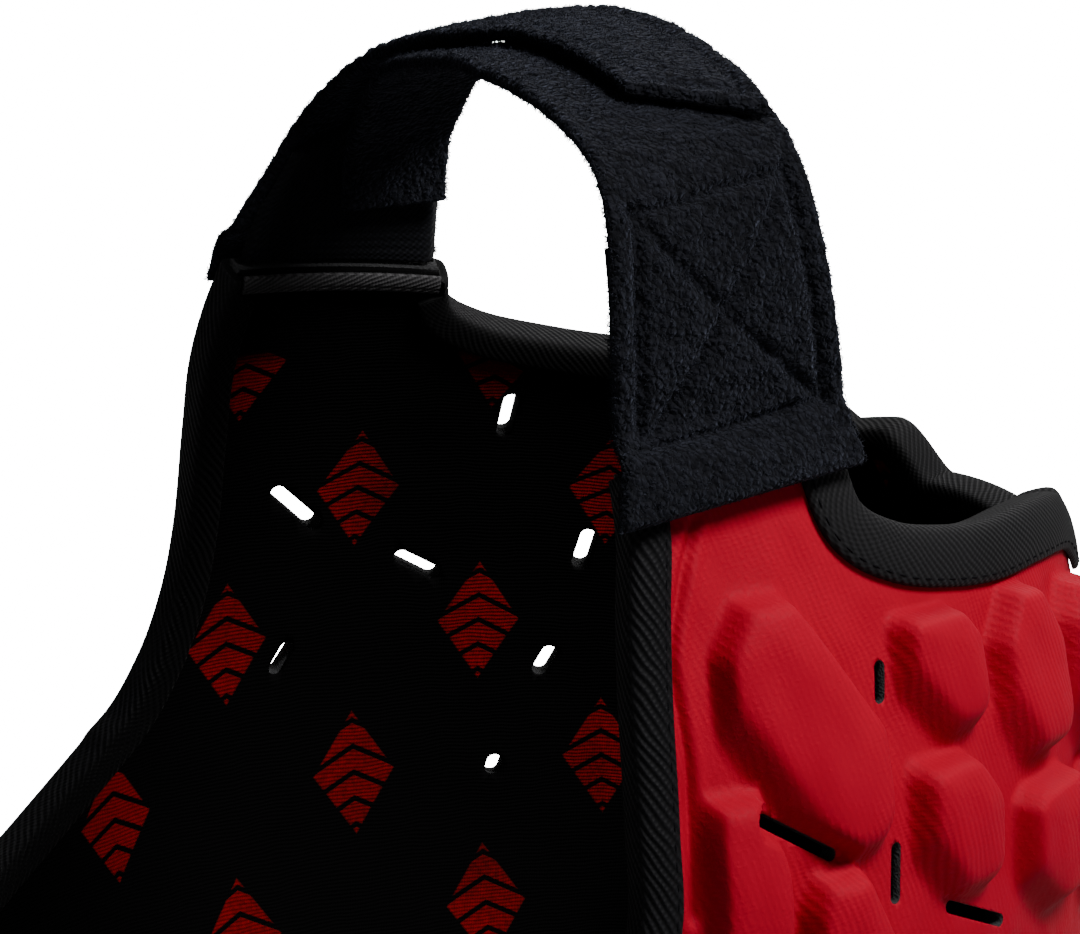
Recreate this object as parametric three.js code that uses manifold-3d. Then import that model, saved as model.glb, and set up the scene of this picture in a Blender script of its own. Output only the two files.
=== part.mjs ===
// A padded rugby headguard, standing upside down on its flattened crown with the chin strap on top.
// Millimetres. +Z runs from the crown towards the chin, the face opening looks along -Y, and the
// wearer's right side is +X. Three stitched panels (right, centre, left) carry moulded foam pads
// outside and a lining inside. A woven tape binds the face edge, a ribbed band binds the neck edge,
// and two overlapping straps close the loop under the chin.
import * as THREE from "three";
import { mergeVertices } from "three/addons/utils/BufferGeometryUtils.js";
import Module from "manifold-3d";

const wasm = await Module();
wasm.setup();

// Head form: the inside face of the lining.
const headHalfWidth = 79.5;
const headFront = 99;
const headBack = 104;
const crownDepth = 114.7;
const jawDepth = 170;
const foreheadTaper = 0.28;
const jawTaper = 0.47;
const flattenStart = 0.7;
const flattenEnd = 0.95;

// Layers, measured outwards from the head form.
const liningThickness = 1.2;
const layerGap = 0.5;
const foamThickness = 3;
const padHeight = 5.7;
const padRoot = 3.8;
const padTrim = 0.8;
const coreDepth = 6;
const padShoulderDrop = 1.3;
const padSlope = 4;

// Panels.
const centreHalfWidth = 28.6;
const seamGap = 0.4;
const browAngle = 76;
const napeAngle = 105.7;
const humpAngle = 108.9;
const humpStart = 9;
const humpEnd = 16;
const rowsPerSide = 12;
const columns = 11;
const rowSpread = 1.5;

// Bindings.
const tapeWidth = 4.2;
const ribWidth = 7.5;
const innerLegWidth = 4;
const bindingThickness = 1;
const bindingGap = 0.5;
const hemHeight = 3.4;
const hemGap = 0.5;

// Vents.
const ventWidth = 3;
const ventDepth = 40;
const napeVentAngle = 100;
const napeVentTilt = 3.4;

// Chin strap and the webbing tabs that it is sewn to.
const strapThickness = 2.4;
const strapGap = 0.8;
const sewnGap = 1.4;
const strapReach = 66;
const strapRise = 53;
const strapMiddle = 14.8;
const strapWidth = 36.5;
const tabLevel = 186;
const webbingThickness = 2.4;
const sewnOverlapFront = 7.5;
const sewnOverlapRear = 1.8;
const sewnSideStep = 1.2;
const webbingInset = 0.6;
const strapStations = 22;
const chinLift = 3.2;
const rightStrapEnd = 0.975;
const leftStrapEndFront = 0.705;
const leftStrapEndRear = 0.765;
const tuckStart = 0.74;
const tuckEnd = 0.86;

const radians = THREE.MathUtils.degToRad;
const innerFace = 0;
const liningTop = innerFace + liningThickness;
const foamBase = liningTop + layerGap;
const foamTop = foamBase + foamThickness;
const padTop = foamTop + padHeight;
const tapeTop = foamTop + bindingGap + bindingThickness;
const flatShare = (flattenStart + flattenEnd) / 2;
const widestLevel = crownDepth * flatShare + padTop;
const seamTilt = Math.asin(centreHalfWidth / headHalfWidth);
const sideTilt = Math.asin((centreHalfWidth + seamGap) / headHalfWidth);

// Face edge of each side panel, from the tab down past the ear and the temple to the brow seam. All
// are shares of the head form's reach from its centre: up, and back on the right and on the left.
const faceEdge = [
  { up: 0.490, right: -0.018, left: -0.034 },
  { up: 0.438, right: -0.024, left: -0.056 },
  { up: 0.380, right: -0.043, left: -0.068 },
  { up: 0.310, right: -0.058, left: -0.067 },
  { up: 0.214, right: -0.067, left: -0.069 },
  { up: 0.134, right: -0.074, left: -0.090 },
  { up: 0.064, right: -0.122, left: -0.138 },
  { up: 0.006, right: -0.220, left: -0.222 },
  { up: -0.098, right: -0.416, left: -0.416 },
  { up: -0.179, right: -0.648, left: -0.648 },
];

// Neck edge of a side panel, from the tab round the notch and over the hump to the nape seam.
const neckEdge = [
  { back: 0.302, up: 0.468 },
  { back: 0.321, up: 0.426 },
  { back: 0.386, up: 0.400 },
  { back: 0.470, up: 0.384 },
  { back: 0.574, up: 0.371 },
  { back: 0.702, up: 0.362 },
  { back: 0.812, up: 0.342 },
];

// Pads: back and up place the middle on the side pattern, wide and high are the size of its foot, and
// the four cuts are the shares taken off the corners (front or back, top or bottom).
const rightCheekPads = [
  { back: 20.4, up: 46.3, wide: 29, high: 40, topFront: 0.28, topBack: 0.50, lowBack: 0.16, lowFront: 0.46 },
  { back: 47.5, up: 49.5, wide: 23, high: 20, topFront: 0.25, topBack: 0.32, lowBack: 0.25, lowFront: 0.30 },
  { back: 74.0, up: 45.5, wide: 31, high: 29, topFront: 0.25, topBack: 0.42, lowBack: 0.22, lowFront: 0.30 },
  { back: 48.3, up: 27.0, wide: 23, high: 21, topFront: 0.25, topBack: 0.42, lowBack: 0.25, lowFront: 0.30 },
  { back: 76.5, up: 15.5, wide: 28, high: 24, topFront: 0.25, topBack: 0.25, lowBack: 0.30, lowFront: 0.35 },
  { back: 8.6, up: 17.0, wide: 13, high: 41, topFront: 0.30, topBack: 0.45, lowBack: 0.22, lowFront: 0.35 },
  { back: 24.0, up: 8.0, wide: 17, high: 33, topFront: 0.25, topBack: 0.45, lowBack: 0.25, lowFront: 0.25 },
  { back: 47.0, up: -3.5, wide: 24, high: 21, topFront: 0.25, topBack: 0.45, lowBack: 0.25, lowFront: 0.30 },
  { back: 103.0, up: 42.0, wide: 20, high: 31, topFront: 0.30, topBack: 0.40, lowBack: 0.25, lowFront: 0.30 },
  { back: 105.0, up: 8.0, wide: 21, high: 28, topFront: 0.30, topBack: 0.25, lowBack: 0.30, lowFront: 0.25 },
];
const leftCheekPads = [
  { back: 32.5, up: 46.5, wide: 27, high: 33, topFront: 0.28, topBack: 0.45, lowBack: 0.25, lowFront: 0.45 },
  { back: 62.5, up: 49.5, wide: 21, high: 20, topFront: 0.25, topBack: 0.32, lowBack: 0.25, lowFront: 0.30 },
  { back: 88.0, up: 48.5, wide: 21, high: 21, topFront: 0.25, topBack: 0.42, lowBack: 0.22, lowFront: 0.30 },
  { back: 52.0, up: 24.5, wide: 19, high: 22, topFront: 0.25, topBack: 0.40, lowBack: 0.25, lowFront: 0.30 },
  { back: 80.5, up: 21.0, wide: 23, high: 24, topFront: 0.25, topBack: 0.25, lowBack: 0.30, lowFront: 0.35 },
  { back: 9.0, up: 19.0, wide: 9, high: 35, topFront: 0.30, topBack: 0.35, lowBack: 0.25, lowFront: 0.30 },
  { back: 23.6, up: 8.0, wide: 19, high: 28, topFront: 0.30, topBack: 0.35, lowBack: 0.25, lowFront: 0.30 },
  { back: 43.0, up: 0.5, wide: 20, high: 20, topFront: 0.25, topBack: 0.35, lowBack: 0.25, lowFront: 0.30 },
  { back: 75.5, up: -6.5, wide: 24, high: 20, topFront: 0.30, topBack: 0.25, lowBack: 0.30, lowFront: 0.25 },
  { back: 105.0, up: 8.0, wide: 21, high: 30, topFront: 0.30, topBack: 0.25, lowBack: 0.30, lowFront: 0.25 },
];
const crownPads = [
  { back: -31.0, up: -33.0, wide: 35, high: 29, topFront: 0.42, topBack: 0.25, lowBack: 0.25, lowFront: 0.30 },
  { back: 5.5, up: -26.5, wide: 32, high: 33, topFront: 0.30, topBack: 0.25, lowBack: 0.30, lowFront: 0.25 },
  { back: 46.0, up: -36.5, wide: 34, high: 30, topFront: 0.25, topBack: 0.30, lowBack: 0.25, lowFront: 0.35 },
  { back: 84.0, up: -36.0, wide: 30, high: 32, topFront: 0.30, topBack: 0.25, lowBack: 0.42, lowFront: 0.25 },
  { back: -74.0, up: -52.0, wide: 36, high: 31, topFront: 0.35, topBack: 0.25, lowBack: 0.30, lowFront: 0.30 },
  { back: -31.0, up: -71.0, wide: 38, high: 35, topFront: 0.25, topBack: 0.35, lowBack: 0.25, lowFront: 0.35 },
  { back: 10.0, up: -69.0, wide: 35, high: 38, topFront: 0.35, topBack: 0.25, lowBack: 0.35, lowFront: 0.25 },
  { back: 51.0, up: -79.0, wide: 36, high: 36, topFront: 0.25, topBack: 0.35, lowBack: 0.25, lowFront: 0.35 },
  { back: 86.0, up: -73.0, wide: 24, high: 30, topFront: 0.25, topBack: 0.35, lowBack: 0.50, lowFront: 0.25 },
  { back: -71.0, up: -88.0, wide: 28, high: 28, topFront: 0.30, topBack: 0.25, lowBack: 0.25, lowFront: 0.50 },
  { back: -28.0, up: -108.0, wide: 36, high: 28, topFront: 0.25, topBack: 0.25, lowBack: 0.25, lowFront: 0.45 },
  { back: 14.0, up: -110.5, wide: 36, high: 32, topFront: 0.25, topBack: 0.25, lowBack: 0.30, lowFront: 0.30 },
  { back: 52.0, up: -109.0, wide: 24, high: 16, topFront: 0.30, topBack: 0.30, lowBack: 0.50, lowFront: 0.30 },
];

// Pads of the centre panel: angle runs from the crown, forwards below 0 and backwards above it, in
// degrees, and wide, long and cut are as for a side pad.
const centrePads = [
  { angle: -62, wide: 42, long: 30, cut: 0.36 },
  { angle: -42, wide: 42, long: 32, cut: 0.36 },
  { angle: -21, wide: 44, long: 32, cut: 0.36 },
  { angle: 0, wide: 46, long: 34, cut: 0.36 },
  { angle: 21, wide: 44, long: 32, cut: 0.36 },
  { angle: 41, wide: 42, long: 30, cut: 0.36 },
  { angle: 61, wide: 42, long: 30, cut: 0.36 },
  { angle: 81, wide: 40, long: 30, cut: 0.36 },
];

// Vents, each from one end to the other on the side pattern.
const rightVents = [
  { back: 35.0, up: 53.8, toBack: 34.4, toUp: 47.4 },
  { back: 9.7, up: 35.9, toBack: 22.9, toUp: 27.5 },
  { back: 34.6, up: 27.1, toBack: 34.2, toUp: 17.8 },
  { back: 45.0, up: 14.6, toBack: 60.0, toUp: 7.6 },
];
const leftVents = [
  { back: 49.7, up: 59.1, toBack: 48.6, toUp: 50.0 },
  { back: 7.5, up: 41.8, toBack: 16.6, toUp: 32.9 },
  { back: 30.5, up: 26.8, toBack: 38.8, toUp: 22.1 },
  { back: 66.1, up: 31.9, toBack: 64.0, toUp: 23.6 },
  { back: 59.9, up: 7.9, toBack: 56.8, toUp: 2.2 },
  { back: 12.0, up: 11.9, toBack: 8.7, toUp: 6.3 },
  { back: 49.4, up: -12.8, toBack: 48.0, toUp: -16.5 },
];
const crownVents = [
  { back: 25.6, up: -24.0, toBack: 25.6, toUp: -36.0 },
  { back: 66.4, up: -30.0, toBack: 66.4, toUp: -42.0 },
  { back: 30.3, up: -68.0, toBack: 30.3, toUp: -82.0 },
  { back: -53.6, up: -74.0, toBack: -53.6, toUp: -86.0 },
  { back: 101.0, up: 27.0, toBack: 109.0, toUp: 24.5 },
];

// Route of the face between the two straps, from the right tab over the chin to the left tab.
// across is a share of the strap's reach, rise of its height, and lean the rear edge's step inwards
// as a share of the reach.
const strapRoute = [
  { across: 1.030, rise: 0.170, lean: 0.038 },
  { across: 1.016, rise: 0.420, lean: 0.030 },
  { across: 0.987, rise: 0.670, lean: 0.034 },
  { across: 0.913, rise: 0.845, lean: 0.030 },
  { across: 0.775, rise: 0.935, lean: 0.012 },
  { across: 0.500, rise: 0.992, lean: 0 },
  { across: 0.170, rise: 0.985, lean: 0 },
  { across: -0.130, rise: 0.915, lean: 0 },
  { across: -0.440, rise: 0.820, lean: 0 },
  { across: -0.710, rise: 0.670, lean: 0 },
  { across: -0.860, rise: 0.505, lean: 0 },
  { across: -0.928, rise: 0.323, lean: 0.008 },
  { across: -0.965, rise: 0.170, lean: 0.022 },
];

// Rows of the webbing that each tab ends in: right under its strap, left between the two straps.
const rightWebbing = [
  { routeFront: 0.00, routeRear: 0.00, front: -0.50, rear: 0.46 },
  { routeFront: 0.05, routeRear: 0.05, front: -0.50, rear: 0.42 },
  { routeFront: 0.10, routeRear: 0.10, front: -0.50, rear: 0.38 },
  { routeFront: 0.15, routeRear: 0.15, front: -0.50, rear: 0.35 },
];
const leftWebbing = [
  { routeFront: 1.000, routeRear: 1.00, front: -0.46, rear: 0.46 },
  { routeFront: 0.975, routeRear: 0.95, front: -0.42, rear: 0.45 },
  { routeFront: 0.950, routeRear: 0.90, front: -0.36, rear: 0.42 },
  { routeFront: 0.920, routeRear: 0.85, front: -0.30, rear: 0.40 },
];

// Front and rear edges of each strap, as shares of the strap's width from its middle, at shares of the
// way from the strap's own tab to its free end. lift is the share of the chin lift that the rear edge
// of the outer strap has there.
const rightStrapEdges = [
  { way: 0.00, front: -0.545, rear: 0.512 },
  { way: 0.10, front: -0.545, rear: 0.450 },
  { way: 0.20, front: -0.510, rear: 0.390 },
  { way: 0.36, front: -0.475, rear: 0.385 },
  { way: 0.46, front: -0.460, rear: 0.370 },
  { way: 0.62, front: -0.280, rear: 0.370 },
  { way: 0.82, front: -0.140, rear: 0.385 },
  { way: 0.92, front: -0.090, rear: 0.415 },
  { way: 1.00, front: -0.050, rear: 0.445 },
];
const leftStrapEdges = [
  { way: 0.00, front: -0.500, rear: 0.500, lift: 0 },
  { way: 0.07, front: -0.365, rear: 0.480, lift: 0 },
  { way: 0.14, front: -0.263, rear: 0.460, lift: 0 },
  { way: 0.22, front: -0.187, rear: 0.430, lift: 0 },
  { way: 0.30, front: -0.150, rear: 0.420, lift: 0.2 },
  { way: 0.43, front: -0.140, rear: 0.420, lift: 0.5 },
  { way: 0.57, front: -0.140, rear: 0.420, lift: 0.5 },
  { way: 0.71, front: -0.140, rear: 0.420, lift: 0.1 },
  { way: 0.85, front: -0.170, rear: 0.360, lift: 0 },
  { way: 1.00, front: -0.190, rear: 0.310, lift: 0 },
];

// The crown levels off: depths past flattenStart are eased to a constant.
function flattened(depth) {
  if (depth < flattenStart) return depth;
  if (depth > flattenEnd) return flatShare;
  return depth - (depth - flattenStart) ** 2 / (2 * (flattenEnd - flattenStart));
}

// The head form: a unit direction becomes a point of an ellipsoid whose front and jaw taper and whose
// crown is flattened where the guard rests.
function formPoint(dir) {
  const front = dir.y < 0 ? 1 - foreheadTaper * dir.y ** 2 : 1;
  const jaw = dir.z > 0 ? 1 - jawTaper * dir.z ** 2 : 1;
  return new THREE.Vector3(
    headHalfWidth * dir.x * front * jaw,
    (dir.y < 0 ? headFront : headBack) * dir.y,
    widestLevel + (dir.z > 0 ? jawDepth * dir.z : -crownDepth * flattened(-dir.z)),
  );
}

// The outward normal of the form, from four neighbours of the direction.
function formNormal(dir) {
  const step = 1e-4;
  const helper = Math.abs(dir.x) < 0.9 ? new THREE.Vector3(1, 0, 0) : new THREE.Vector3(0, 1, 0);
  const first = new THREE.Vector3().crossVectors(dir, helper).normalize();
  const second = new THREE.Vector3().crossVectors(dir, first);
  const near = (axis, sign) => formPoint(dir.clone().addScaledVector(axis, sign * step).normalize());
  const alongFirst = near(first, 1).sub(near(first, -1));
  const alongSecond = near(second, 1).sub(near(second, -1));
  return alongFirst.cross(alongSecond).normalize();
}

function layerPoint(dir, height) {
  return formPoint(dir).addScaledVector(formNormal(dir), height);
}

// The side pattern lies flat beside the ear: back and up in millimetres, unrolled away from the ear.
function patternToDirection(pattern, side) {
  const a = pattern.x / (pattern.x < 0 ? headFront : headBack);
  const b = pattern.y / (pattern.y < 0 ? crownDepth : jawDepth);
  const turn = Math.hypot(a, b) + 1e-12;
  const share = Math.sin(turn) / turn;
  return new THREE.Vector3(side * Math.cos(turn), share * a, share * b);
}

function sharesToPattern(back, up) {
  const turn = Math.acos(Math.sqrt(Math.max(0, 1 - back ** 2 - up ** 2)));
  const share = turn / Math.sin(turn);
  return new THREE.Vector2(
    share * back * (back < 0 ? headFront : headBack),
    share * up * (up < 0 ? crownDepth : jawDepth),
  );
}

// A direction on the centre panel: tilt runs sideways, angle runs from the crown to the back.
function centreDirection(tilt, angle) {
  return new THREE.Vector3(
    Math.sin(tilt),
    Math.cos(tilt) * Math.sin(angle),
    -Math.cos(tilt) * Math.cos(angle),
  );
}

function seamPattern(tilt, angle) {
  const dir = centreDirection(tilt, angle);
  return sharesToPattern(dir.y, dir.z);
}

// Boundary curves of the side pattern.
const browEnd = seamPattern(sideTilt, radians(-browAngle));
const napeEnd = seamPattern(sideTilt, radians(humpAngle));
const curveDivisions = 400;
function edgeCurve(patterns) {
  const curve = new THREE.SplineCurve(patterns);
  curve.arcLengthDivisions = curveDivisions;
  return curve;
}
const faceCurveOf = (name) => edgeCurve([...faceEdge.map((row) => sharesToPattern(row[name], row.up)), browEnd]);
const neckCurve = edgeCurve([...neckEdge.map((row) => sharesToPattern(row.back, row.up)), napeEnd]);
const faceCurves = { right: faceCurveOf("right"), left: faceCurveOf("left") };
const faceCurveAt = (side) => (side > 0 ? faceCurves.right : faceCurves.left);
const tabBack = neckCurve.getPointAt(0);
const tabFrontAt = (side) => faceCurveAt(side).getPointAt(0);

// Column positions along a row of the given length: one under the inner edge of each binding, the
// rest even between them.
function columnShares(length) {
  const first = (tapeWidth + bindingGap) / length;
  const last = 1 - (ribWidth + bindingGap) / length;
  const shares = [0, first];
  for (let i = 1; i < columns - 2; i += 1) shares.push(first + ((last - first) * i) / (columns - 2));
  shares.push(last, 1);
  return shares;
}

const seamLength = radians(browAngle + humpAngle) * (headFront + headBack) / 2;
const seamShares = columnShares(seamLength);
const seamAngle = (share) => radians(-browAngle + share * (browAngle + humpAngle));

// The nape edge of the centre panel dips between the two humps.
function napeAngleAt(tilt) {
  const hump = THREE.MathUtils.smoothstep(Math.abs(tilt), radians(humpStart), radians(humpEnd));
  return radians(THREE.MathUtils.lerp(napeAngle, humpAngle, hump));
}

// A point of the side pattern between its four boundary curves.
function panelPattern(across, down, side) {
  const tabFront = tabFrontAt(side);
  const front = faceCurveAt(side).getPointAt(down);
  const back = neckCurve.getPointAt(down);
  const top = tabFront.clone().lerp(tabBack, across);
  const low = seamPattern(sideTilt, seamAngle(across));
  const corners = tabFront.clone().lerp(tabBack, across).multiplyScalar(1 - down)
    .add(browEnd.clone().lerp(napeEnd, across).multiplyScalar(down));
  return front.lerp(back, across).add(top.multiplyScalar(1 - down)).add(low.multiplyScalar(down)).sub(corners);
}

// The direction of the form point nearest to a point close to the form, away from the crown.
function pointDirection(point) {
  const y = point.y / (point.y < 0 ? headFront : headBack);
  const rise = point.z - widestLevel;
  const z = rise / (rise > 0 ? jawDepth : crownDepth);
  const front = y < 0 ? 1 - foreheadTaper * y ** 2 : 1;
  const jaw = z > 0 ? 1 - jawTaper * z ** 2 : 1;
  return new THREE.Vector3(point.x / (headHalfWidth * front * jaw), y, z).normalize();
}

// The direction a distance in from an edge, square to it. Inwards is towards the given direction.
function insideEdge(edge, before, after, towards, distance) {
  const tangent = formPoint(after).sub(formPoint(before)).normalize();
  const inward = new THREE.Vector3().crossVectors(formNormal(edge), tangent).normalize();
  if (inward.dot(formPoint(towards).sub(formPoint(edge))) < 0) inward.negate();
  return pointDirection(formPoint(edge).addScaledVector(inward, distance));
}

// Rows of directions over a side panel, from the tab down to the seam. The second column from each
// end lies square to the edge, just past the binding.
function sideGrid(side) {
  const tabLength = tabFrontAt(side).distanceTo(tabBack);
  const shortest = 2.5 * (tapeWidth + ribWidth);
  const rows = [];
  for (let j = 0; j <= rowsPerSide; j += 1) {
    const down = j / rowsPerSide;
    const length = THREE.MathUtils.lerp(tabLength, seamLength, down ** rowSpread);
    const shares = j === rowsPerSide ? seamShares : columnShares(j === 0 ? length : Math.max(length, shortest));
    rows.push(shares.map((across) => patternToDirection(panelPattern(across, down, side), side)));
  }
  for (let j = 1; j < rowsPerSide; j += 1) {
    for (const [at, width] of [[0, tapeWidth], [columns, ribWidth]]) {
      const next = at === 0 ? 1 : columns - 1;
      const [before, row, after] = [rows[j - 1], rows[j], rows[j + 1]];
      row[next] = insideEdge(row[at], before[at], after[at], row[next], width + bindingGap);
    }
  }
  return rows;
}

const centreTilts = [seamTilt, radians(humpEnd), radians((humpStart + humpEnd) / 2), radians(humpStart), 0];
const centreRows = [...centreTilts, ...centreTilts.slice(0, -1).reverse().map((tilt) => -tilt)];
const centreGrid = centreRows.map((tilt) => seamShares.map((share) => (
  centreDirection(tilt, THREE.MathUtils.lerp(radians(-browAngle), napeAngleAt(tilt), share))
)));

function meshFrom(points, faces) {
  const geometry = new THREE.BufferGeometry();
  geometry.setAttribute("position", new THREE.Float32BufferAttribute(points.flatMap((p) => [p.x, p.y, p.z]), 3));
  geometry.setIndex(faces.flat());
  return geometry;
}

// A closed slab between two heights over a grid of directions.
function slab(grid, low, high) {
  const rows = grid.length;
  const wide = grid[0].length;
  const points = [];
  for (const height of [high, low]) {
    for (const row of grid) for (const dir of row) points.push(layerPoint(dir, height));
  }
  const at = (layer, j, i) => layer * rows * wide + j * wide + i;
  const faces = [];
  const quad = (a, b, c, d) => faces.push([a, b, c], [a, c, d]);
  for (let j = 0; j < rows - 1; j += 1) {
    for (let i = 0; i < wide - 1; i += 1) {
      quad(at(0, j, i), at(0, j + 1, i), at(0, j + 1, i + 1), at(0, j, i + 1));
      quad(at(1, j, i), at(1, j, i + 1), at(1, j + 1, i + 1), at(1, j + 1, i));
    }
  }
  for (let i = 0; i < wide - 1; i += 1) {
    quad(at(0, 0, i + 1), at(1, 0, i + 1), at(1, 0, i), at(0, 0, i));
    quad(at(0, rows - 1, i + 1), at(0, rows - 1, i), at(1, rows - 1, i), at(1, rows - 1, i + 1));
  }
  for (let j = 0; j < rows - 1; j += 1) {
    quad(at(0, j + 1, 0), at(0, j, 0), at(1, j, 0), at(1, j + 1, 0));
    quad(at(0, j, wide - 1), at(0, j + 1, wide - 1), at(1, j + 1, wide - 1), at(1, j, wide - 1));
  }
  return facingOut(meshFrom(points, faces));
}

// A closed body through rings of points: neighbouring rings are joined and the end rings are capped.
function loft(rings, section) {
  const count = rings[0].length;
  const faces = [];
  for (let j = 0; j < rings.length - 1; j += 1) {
    for (let i = 0; i < count; i += 1) {
      const next = (i + 1) % count;
      const a = j * count + i;
      const b = j * count + next;
      faces.push([a, b, b + count], [a, b + count, a + count]);
    }
  }
  const caps = THREE.ShapeUtils.triangulateShape(section, []);
  const last = (rings.length - 1) * count;
  for (const [a, b, c] of caps) faces.push([a, c, b], [last + a, last + b, last + c]);
  return facingOut(meshFrom(rings.flat(), faces));
}

function volumeOf(geometry) {
  const position = geometry.getAttribute("position");
  const index = geometry.getIndex();
  const corner = [new THREE.Vector3(), new THREE.Vector3(), new THREE.Vector3()];
  let volume = 0;
  for (let i = 0; i < index.count; i += 3) {
    corner.forEach((point, k) => point.fromBufferAttribute(position, index.getX(i + k)));
    volume += corner[0].dot(corner[1].clone().cross(corner[2])) / 6;
  }
  return volume;
}

// Turns the faces of a closed geometry outwards.
function facingOut(geometry) {
  if (volumeOf(geometry) > 0) return geometry;
  const index = Array.from(geometry.getIndex().array);
  for (let i = 0; i < index.length; i += 3) [index[i + 1], index[i + 2]] = [index[i + 2], index[i + 1]];
  geometry.setIndex(index);
  return geometry;
}

function toSolid(geometry) {
  const plain = geometry.clone();
  plain.deleteAttribute("normal");
  plain.deleteAttribute("uv");
  const merged = mergeVertices(plain, 1e-5);
  return new wasm.Manifold(new wasm.Mesh({
    numProp: 3,
    vertProperties: new Float32Array(merged.getAttribute("position").array),
    triVerts: new Uint32Array(merged.getIndex().array),
  }));
}

function toGeometry(solid) {
  const mesh = solid.getMesh();
  const geometry = new THREE.BufferGeometry();
  const positions = new Float32Array(mesh.numVert * 3);
  for (let i = 0; i < mesh.numVert; i += 1) {
    for (let k = 0; k < 3; k += 1) positions[3 * i + k] = mesh.vertProperties[i * mesh.numProp + k];
  }
  geometry.setAttribute("position", new THREE.BufferAttribute(positions, 3));
  geometry.setIndex(Array.from(mesh.triVerts));
  return geometry;
}

// Corners of a pad's foot: a rectangle whose four corners are cut by the named shares.
function padOutline(pad, inset) {
  const w = pad.wide / 2 - inset;
  const h = pad.high / 2 - inset;
  const corners = [
    { x: 1, y: -1, cut: pad.lowBack },
    { x: 1, y: 1, cut: pad.topBack },
    { x: -1, y: 1, cut: pad.topFront },
    { x: -1, y: -1, cut: pad.lowFront },
  ];
  return corners.flatMap(({ x, y, cut }) => {
    const side = new THREE.Vector2(x * w, y * h * (1 - 2 * cut));
    const end = new THREE.Vector2(x * w * (1 - 2 * cut), y * h);
    return x * y < 0 ? [end, side] : [side, end];
  });
}

// A pad: its root ring under the foam's top, its shoulder and a low crowned or flat top. What reaches
// under the foam is trimmed by the core before the pad is joined.
function padSolid(pad, toDirection, crowned) {
  const foot = padOutline(pad, 0);
  const shoulder = padOutline(pad, padSlope);
  const middle = toDirection(new THREE.Vector2(0, 0));
  const shoulderHeight = crowned ? padTop - padShoulderDrop : padTop;
  const rings = [
    foot.map((p) => layerPoint(toDirection(p), foamTop - padRoot)),
    shoulder.map((p) => layerPoint(toDirection(p), shoulderHeight)),
  ];
  const count = foot.length;
  const points = rings.flat();
  const top = points.push(layerPoint(middle, padTop)) - 1;
  const root = points.push(layerPoint(middle, foamTop - padRoot)) - 1;
  const faces = [];
  for (let i = 0; i < count; i += 1) {
    const next = (i + 1) % count;
    for (let j = 0; j < rings.length - 1; j += 1) {
      const a = j * count + i;
      const b = j * count + next;
      faces.push([a, b, b + count], [a, b + count, a + count]);
    }
    faces.push([top, (rings.length - 1) * count + i, (rings.length - 1) * count + next]);
    faces.push([root, next, i]);
  }
  return toSolid(facingOut(meshFrom(points, faces)));
}

// A straight slot with pointed ends, standing through the layers between two directions.
function ventCutter(startDir, endDir) {
  const middleDir = startDir.clone().add(endDir).normalize();
  const start = layerPoint(startDir, foamBase);
  const end = layerPoint(endDir, foamBase);
  const out = formNormal(middleDir);
  const along = end.clone().sub(start).normalize();
  along.addScaledVector(out, -along.dot(out)).normalize();
  const half = start.distanceTo(end) / 2;
  const straight = half - ventWidth / 2;
  const shape = new THREE.Shape([
    new THREE.Vector2(half, 0),
    new THREE.Vector2(straight, ventWidth / 2),
    new THREE.Vector2(-straight, ventWidth / 2),
    new THREE.Vector2(-half, 0),
    new THREE.Vector2(-straight, -ventWidth / 2),
    new THREE.Vector2(straight, -ventWidth / 2),
  ]);
  const geometry = new THREE.ExtrudeGeometry(shape, { depth: ventDepth, bevelEnabled: false });
  geometry.translate(0, 0, -ventDepth / 2);
  const basis = new THREE.Matrix4().makeBasis(along, out.clone().cross(along), out);
  geometry.applyMatrix4(basis.setPosition(layerPoint(middleDir, foamBase)));
  return toSolid(geometry);
}

function sideVentCutter(vent, side) {
  const start = patternToDirection(new THREE.Vector2(vent.back, vent.up), side);
  const end = patternToDirection(new THREE.Vector2(vent.toBack, vent.toUp), side);
  return ventCutter(start, end);
}

// A folded band round an edge: outer leg, web past the edge, inner leg.
function bindingSection(width) {
  const outside = -(bindingGap + bindingThickness);
  return [
    { d: width, w: foamTop + bindingGap },
    { d: width, w: tapeTop },
    { d: outside, w: tapeTop },
    { d: outside, w: outside },
    { d: innerLegWidth, w: outside },
    { d: innerLegWidth, w: -bindingGap },
    { d: -bindingGap, w: -bindingGap },
    { d: -bindingGap, w: foamTop + bindingGap },
  ];
}

// The band runs over the ends of the panels' rows: down the right side, over the centre, up the left.
// It starts and ends clear of the hems.
function binding(atFace, width) {
  const ends = (grid) => grid.map((row) => (atFace ? [row[0], row[1]] : [row[columns], row[columns - 1]]));
  const right = ends(sideGrid(1));
  const left = ends(sideGrid(-1));
  const start = (hemHeight + hemGap) / formPoint(right[0][0]).distanceTo(formPoint(right[1][0]));
  for (const pairs of [right, left]) {
    pairs[0] = pairs[0].map((dir, k) => dir.clone().lerp(pairs[1][k], start).normalize());
  }
  const stations = [...right.slice(0, -1), ...ends(centreGrid), ...left.slice(0, -1).reverse()];
  const section = bindingSection(width);
  const rings = stations.map(([edge, inside]) => {
    const reach = formPoint(edge).distanceTo(formPoint(inside));
    return section.map(({ d, w }) => layerPoint(edge.clone().lerp(inside, d / reach).normalize(), w));
  });
  return loft(rings, section.map(({ d, w }) => new THREE.Vector2(d, w)));
}

// The strap's route as a curve: x across, z up, and the lean carried in y.
const route = new THREE.CatmullRomCurve3(strapRoute.map((row) => (
  new THREE.Vector3(row.across * strapReach, row.lean * strapReach, tabLevel + row.rise * strapRise)
)));
route.arcLengthDivisions = curveDivisions;

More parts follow.
